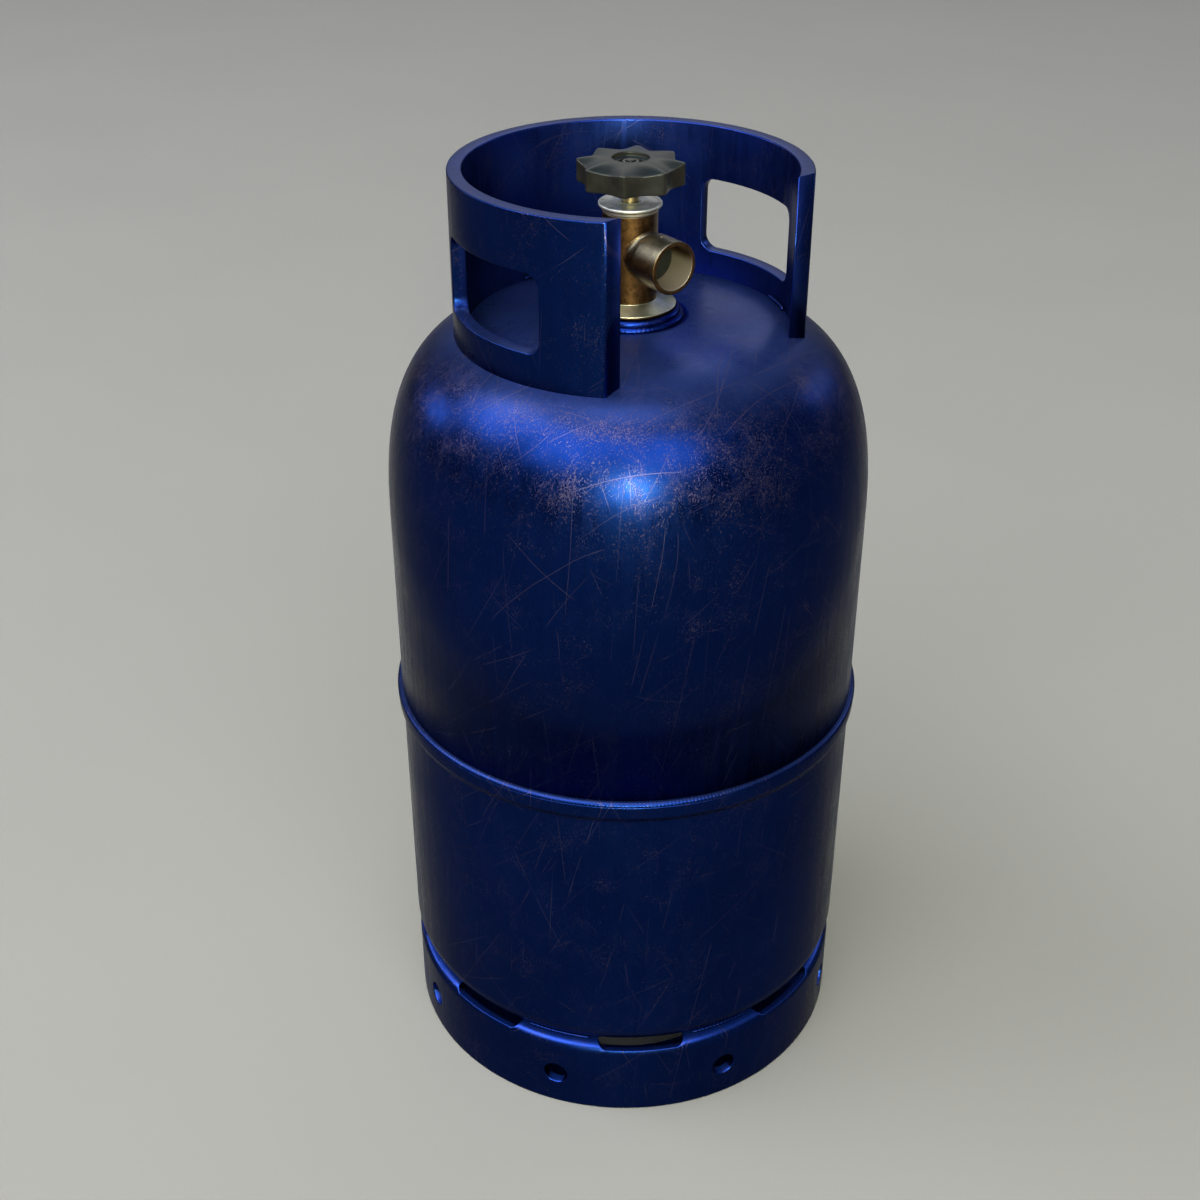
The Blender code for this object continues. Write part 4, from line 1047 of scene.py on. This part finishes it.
def wheel_plastic():
    """Dark grey moulded plastic with a fine grain, painted darker and bluer where it faces up as a painted
    reflection, with a painted highlight along its rim's edge.
    """
    nodes = Nodes("wheel_plastic")
    wear = nodes.noise(90.0, detail=5.0, roughness=0.65)
    worn = nodes.ramp(wear, 0.40, 0.68)
    side = nodes.mix(worn, (0.0062, 0.0058, 0.0052), (0.0100, 0.0094, 0.0084))
    top = nodes.mix(worn, (0.0026, 0.0042, 0.0056), (0.0045, 0.0068, 0.0084))
    # Painted reflection: faces that look up take the darker, bluer colour
    colour = nodes.mix(nodes.ramp(nodes.normal_z(), 0.3, 0.8), side, top)
    # Painted highlight: a lighter colour on the rim's rounded edge, patchy with the wear noise
    from_edge = nodes.math("ABSOLUTE", nodes.minus(nodes.normal_z(), 0.60))
    edge_painted_highlight = nodes.ramp(from_edge, 0.18, 0.34, 1.0, 0.0)
    rim = nodes.times(edge_painted_highlight, nodes.ramp(nodes.reach(), 0.0255, 0.0275))
    colour = nodes.mix(nodes.times(rim, nodes.ramp(wear, 0.35, 0.60)), colour, (0.0190, 0.0195, 0.0185))
    rough = nodes.minus(nodes.ramp(wear, 0.30, 0.70, 0.29, 0.39), nodes.times(rim, 0.10))
    nodes.bump(nodes.noise(2600.0), 0.25, 0.00006)
    return nodes.finish(
        Base_Color=colour, Roughness=rough, Specular_IOR_Level=0.15, Specular_Tint=(0.80, 0.95, 1.0),
    )


def plated_steel():
    """Zinc-plated steel, turned and a little stained."""
    nodes = Nodes("plated_steel")
    rings = nodes.noise(1.0, detail=2.0, at=nodes.stretched((0, 0, 0), (120.0, 120.0, 4000.0)))
    stain = nodes.noise(300.0, detail=5.0)
    colour = nodes.mix(nodes.ramp(stain, 0.45, 0.70), (0.060, 0.064, 0.068), (0.035, 0.036, 0.036))
    nodes.bump(rings, 0.2, 0.00005)
    return nodes.finish(Base_Color=colour, Roughness=nodes.ramp(stain, 0.3, 0.7, 0.25, 0.42), Metallic=1.0)


def seal_rubber():
    nodes = Nodes("seal_rubber")
    grain = nodes.noise(1800.0, detail=4.0)
    cloud = nodes.noise(200.0, detail=4.0)
    colour = nodes.mix(nodes.ramp(cloud, 0.35, 0.65), (0.005, 0.006, 0.006), (0.008, 0.0095, 0.0095))
    rough = nodes.ramp(grain, 0.3, 0.7, 0.48, 0.66)
    nodes.bump(grain, 0.3, 0.00006)
    return nodes.finish(Base_Color=colour, Roughness=rough, Specular_IOR_Level=0.10)


def nylon():
    nodes = Nodes("nylon")
    cloud = nodes.noise(220.0, detail=4.0)
    colour = nodes.mix(nodes.ramp(cloud, 0.35, 0.65), (0.24, 0.235, 0.21), (0.28, 0.275, 0.255))
    nodes.bump(nodes.noise(1500.0), 0.2, 0.00005)
    return nodes.finish(Base_Color=colour, Roughness=nodes.ramp(cloud, 0.3, 0.7, 0.40, 0.52))


# ---- assembly

def show(piece, body, finish, node):
    """Gives a piece its material and its body, and hides the frame node that it stands for."""
    piece.data.materials.clear()
    piece.data.materials.append(finish)
    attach(piece, body)
    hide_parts(node)


def repaint(node, finish):
    """A frame node that keeps its shape takes a better material."""
    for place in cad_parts[node].material_slots:
        place.material = finish


def build_tank():
    paint = blue_paint()
    for piece, node in (
        (make_upper_shell(), "upper_shell"), (make_lower_shell(), "lower_shell"),
        (make_girth_weld(), "girth_weld"), (make_boss(), "valve_boss"), (make_boss_weld(), "boss_weld"),
        (make_collar(), "collar"), (make_foot_ring(), "foot_ring"),
    ):
        show(piece, "tank", paint, node)
    for node in sorted(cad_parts):
        if node.startswith(("collar_weld_", "foot_weld_")):
            show(make_bead(node), "tank", paint, node)


def build_valve():
    # The body's bore colour is a painted reflection, and its flange colour is partly painted light
    body_brass = brass(
        "brass_body", warm=(0.090, 0.047, 0.0205), pale=(0.115, 0.106, 0.080), grain=0.70,
        bore=(0.125, 0.104, 0.085), flange_below=COLUMN_FOOT_Z + 0.0005,
    )
    # The bonnet's pale colour covers all but its downward faces: a painted highlight on its top and rim
    bonnet_brass = brass(
        "brass_bonnet", warm=(0.160, 0.082, 0.033), pale=(0.54, 0.57, 0.60), grain=0.30,
        facing_from=-0.30, gloss=0.44,
    )
    bright_brass = brass(
        "brass_spindle", warm=(0.36, 0.28, 0.16), pale=(0.50, 0.44, 0.31), grain=0.12, soiled_above=0.6105,
    )
    rubber, steel, white = seal_rubber(), plated_steel(), nylon()
    for piece in (make_column(), make_outlet(), make_pip()):
        show(piece, "tank", body_brass, "valve_body")
    show(make_bonnet(), "tank", bonnet_brass, "bonnet")
    show(make_outlet_seal(), "tank", rubber, "outlet_seal")
    for piece in (
        make_spindle(), rounded_box("spindle_square", SQUARE_SIZE, SQUARE_Z),
        rounded_box("spindle_tang", TANG_SIZE, TANG_Z),
    ):
        show(piece, "spindle", bright_brass, "spindle")
    show(make_handwheel(), "spindle", wheel_plastic(), "handwheel")
    show(make_nut(), "spindle", steel, "wheel_nut")
    show(make_wheel_washer(), "spindle", steel, "wheel_washer")
    repaint("wheel_bush", steel)
    repaint("spindle_o_ring", rubber)
    repaint("plug", bright_brass)
    repaint("thrust_washer", white)
    repaint("seat_disc", white)


# ---- floor, lights and camera

def make_floor():
    nodes = Nodes("floor")
    cloud = nodes.noise(3.0, detail=4.0)
    nodes.bump(nodes.noise(400.0), 0.05, 0.0002)
    colour = nodes.mix(cloud, (0.128, 0.128, 0.129), (0.138, 0.138, 0.138))
    finish = nodes.finish(Base_Color=colour, Roughness=nodes.ramp(cloud, 0.2, 0.8, 0.75, 0.85))
    shape = bmesh.new()
    bmesh.ops.create_grid(shape, x_segments=2, y_segments=2, size=30.0)
    floor = from_bmesh("floor", shape)
    floor.location.z = cad_box[0].z
    floor.data.materials.append(finish)


def fade_edges(tree):
    """Lets a light's emission fade towards all four of its sides."""
    place = tree.nodes.new("ShaderNodeSeparateXYZ")
    tree.links.new(tree.nodes.new("ShaderNodeNewGeometry").outputs["Parametric"], place.inputs[0])
    share = tree.nodes.new("ShaderNodeMath")
    share.operation = "MULTIPLY"
    for number, axis in enumerate("XY"):
        both = tree.nodes.new("ShaderNodeMath")
        both.operation = "MULTIPLY"
        for slot, (dark, bright) in enumerate(((0.0, LIGHT_FADE), (1.0, 1.0 - LIGHT_FADE))):
            side = tree.nodes.new("ShaderNodeMapRange")
            side.interpolation_type = "SMOOTHSTEP"
            side.inputs["From Min"].default_value = dark
            side.inputs["From Max"].default_value = bright
            tree.links.new(place.outputs[axis], side.inputs["Value"])
            tree.links.new(side.outputs["Result"], both.inputs[slot])
        tree.links.new(both.outputs[0], share.inputs[number])
    tree.links.new(share.outputs[0], tree.nodes["Emission"].inputs["Strength"])


def softbox(name, azimuth, elevation, spread, radiance, colour=(1.0, 1.0, 1.0), distance=7.0):
    """A soft-edged light facing the tank; azimuth runs from -Y to +X, spread is its half angles; degrees."""
    light = bpy.data.lights.new(name, "AREA")
    light.shape = "RECTANGLE"
    light.size, light.size_y = [2 * distance * math.tan(math.radians(half)) for half in spread]
    light.energy = radiance * math.pi * light.size * light.size_y
    light.color = colour
    light.use_nodes = True
    fade_edges(light.node_tree)
    obj = bpy.data.objects.new(name, light)
    turn, lift = math.radians(azimuth), math.radians(elevation)
    out = Vector((math.sin(turn) * math.cos(lift), -math.cos(turn) * math.cos(lift), math.sin(lift)))
    obj.location = LIGHT_TARGET + distance * out
    obj.rotation_euler = out.to_track_quat("Z", "Y").to_euler()
    obj.visible_camera = False
    bpy.context.scene.collection.objects.link(obj)


def make_lights():
    world = bpy.data.worlds.new("studio")
    world.use_nodes = True
    back = world.node_tree.nodes["Background"]
    back.inputs["Color"].default_value = (0.90, 0.94, 1.0, 1.0)
    back.inputs["Strength"].default_value = 0.40
    bpy.context.scene.world = world
    softbox("bank_left", -124, 44, (22, 25), 9.5)
    softbox("bank_middle", -72, 45, (23, 25), 9.5)
    softbox("bank_right", -20, 43, (23, 23), 9.0)
    softbox("overhead", -60, 84, (20, 17), 5.0)
    softbox("key_surround", -36, 15, (17, 10), 10.0)
    # The key is yellowish, so that its reflection in the blue enamel leans to cyan
    softbox("key", -35, 17, (6.0, 4.6), 280, (1.0, 1.0, 0.46))
    softbox("left_edge", -150, 14, (11, 9), 9.5)
    softbox("right_edge", 88, 19, (10, 8), 5.5)
    softbox("behind", 140, 33, (26, 16), 1.5, (1.0, 0.92, 0.80))


def make_camera():
    lens = bpy.data.cameras.new("camera")
    lens.lens = 50
    lens.sensor_width = 36
    lens.clip_start = 0.01
    camera = bpy.data.objects.new("camera", lens)
    camera.location = (-0.5813, -0.7575, 0.8909)
    camera.rotation_euler = (math.radians(90 - 30.98), 0, math.radians(-36.44))
    bpy.context.scene.collection.objects.link(camera)
    bpy.context.scene.camera = camera


make_camera()
build_tank()
build_valve()
make_floor()
make_lights()
bpy.context.scene.view_settings.view_transform = "Standard"
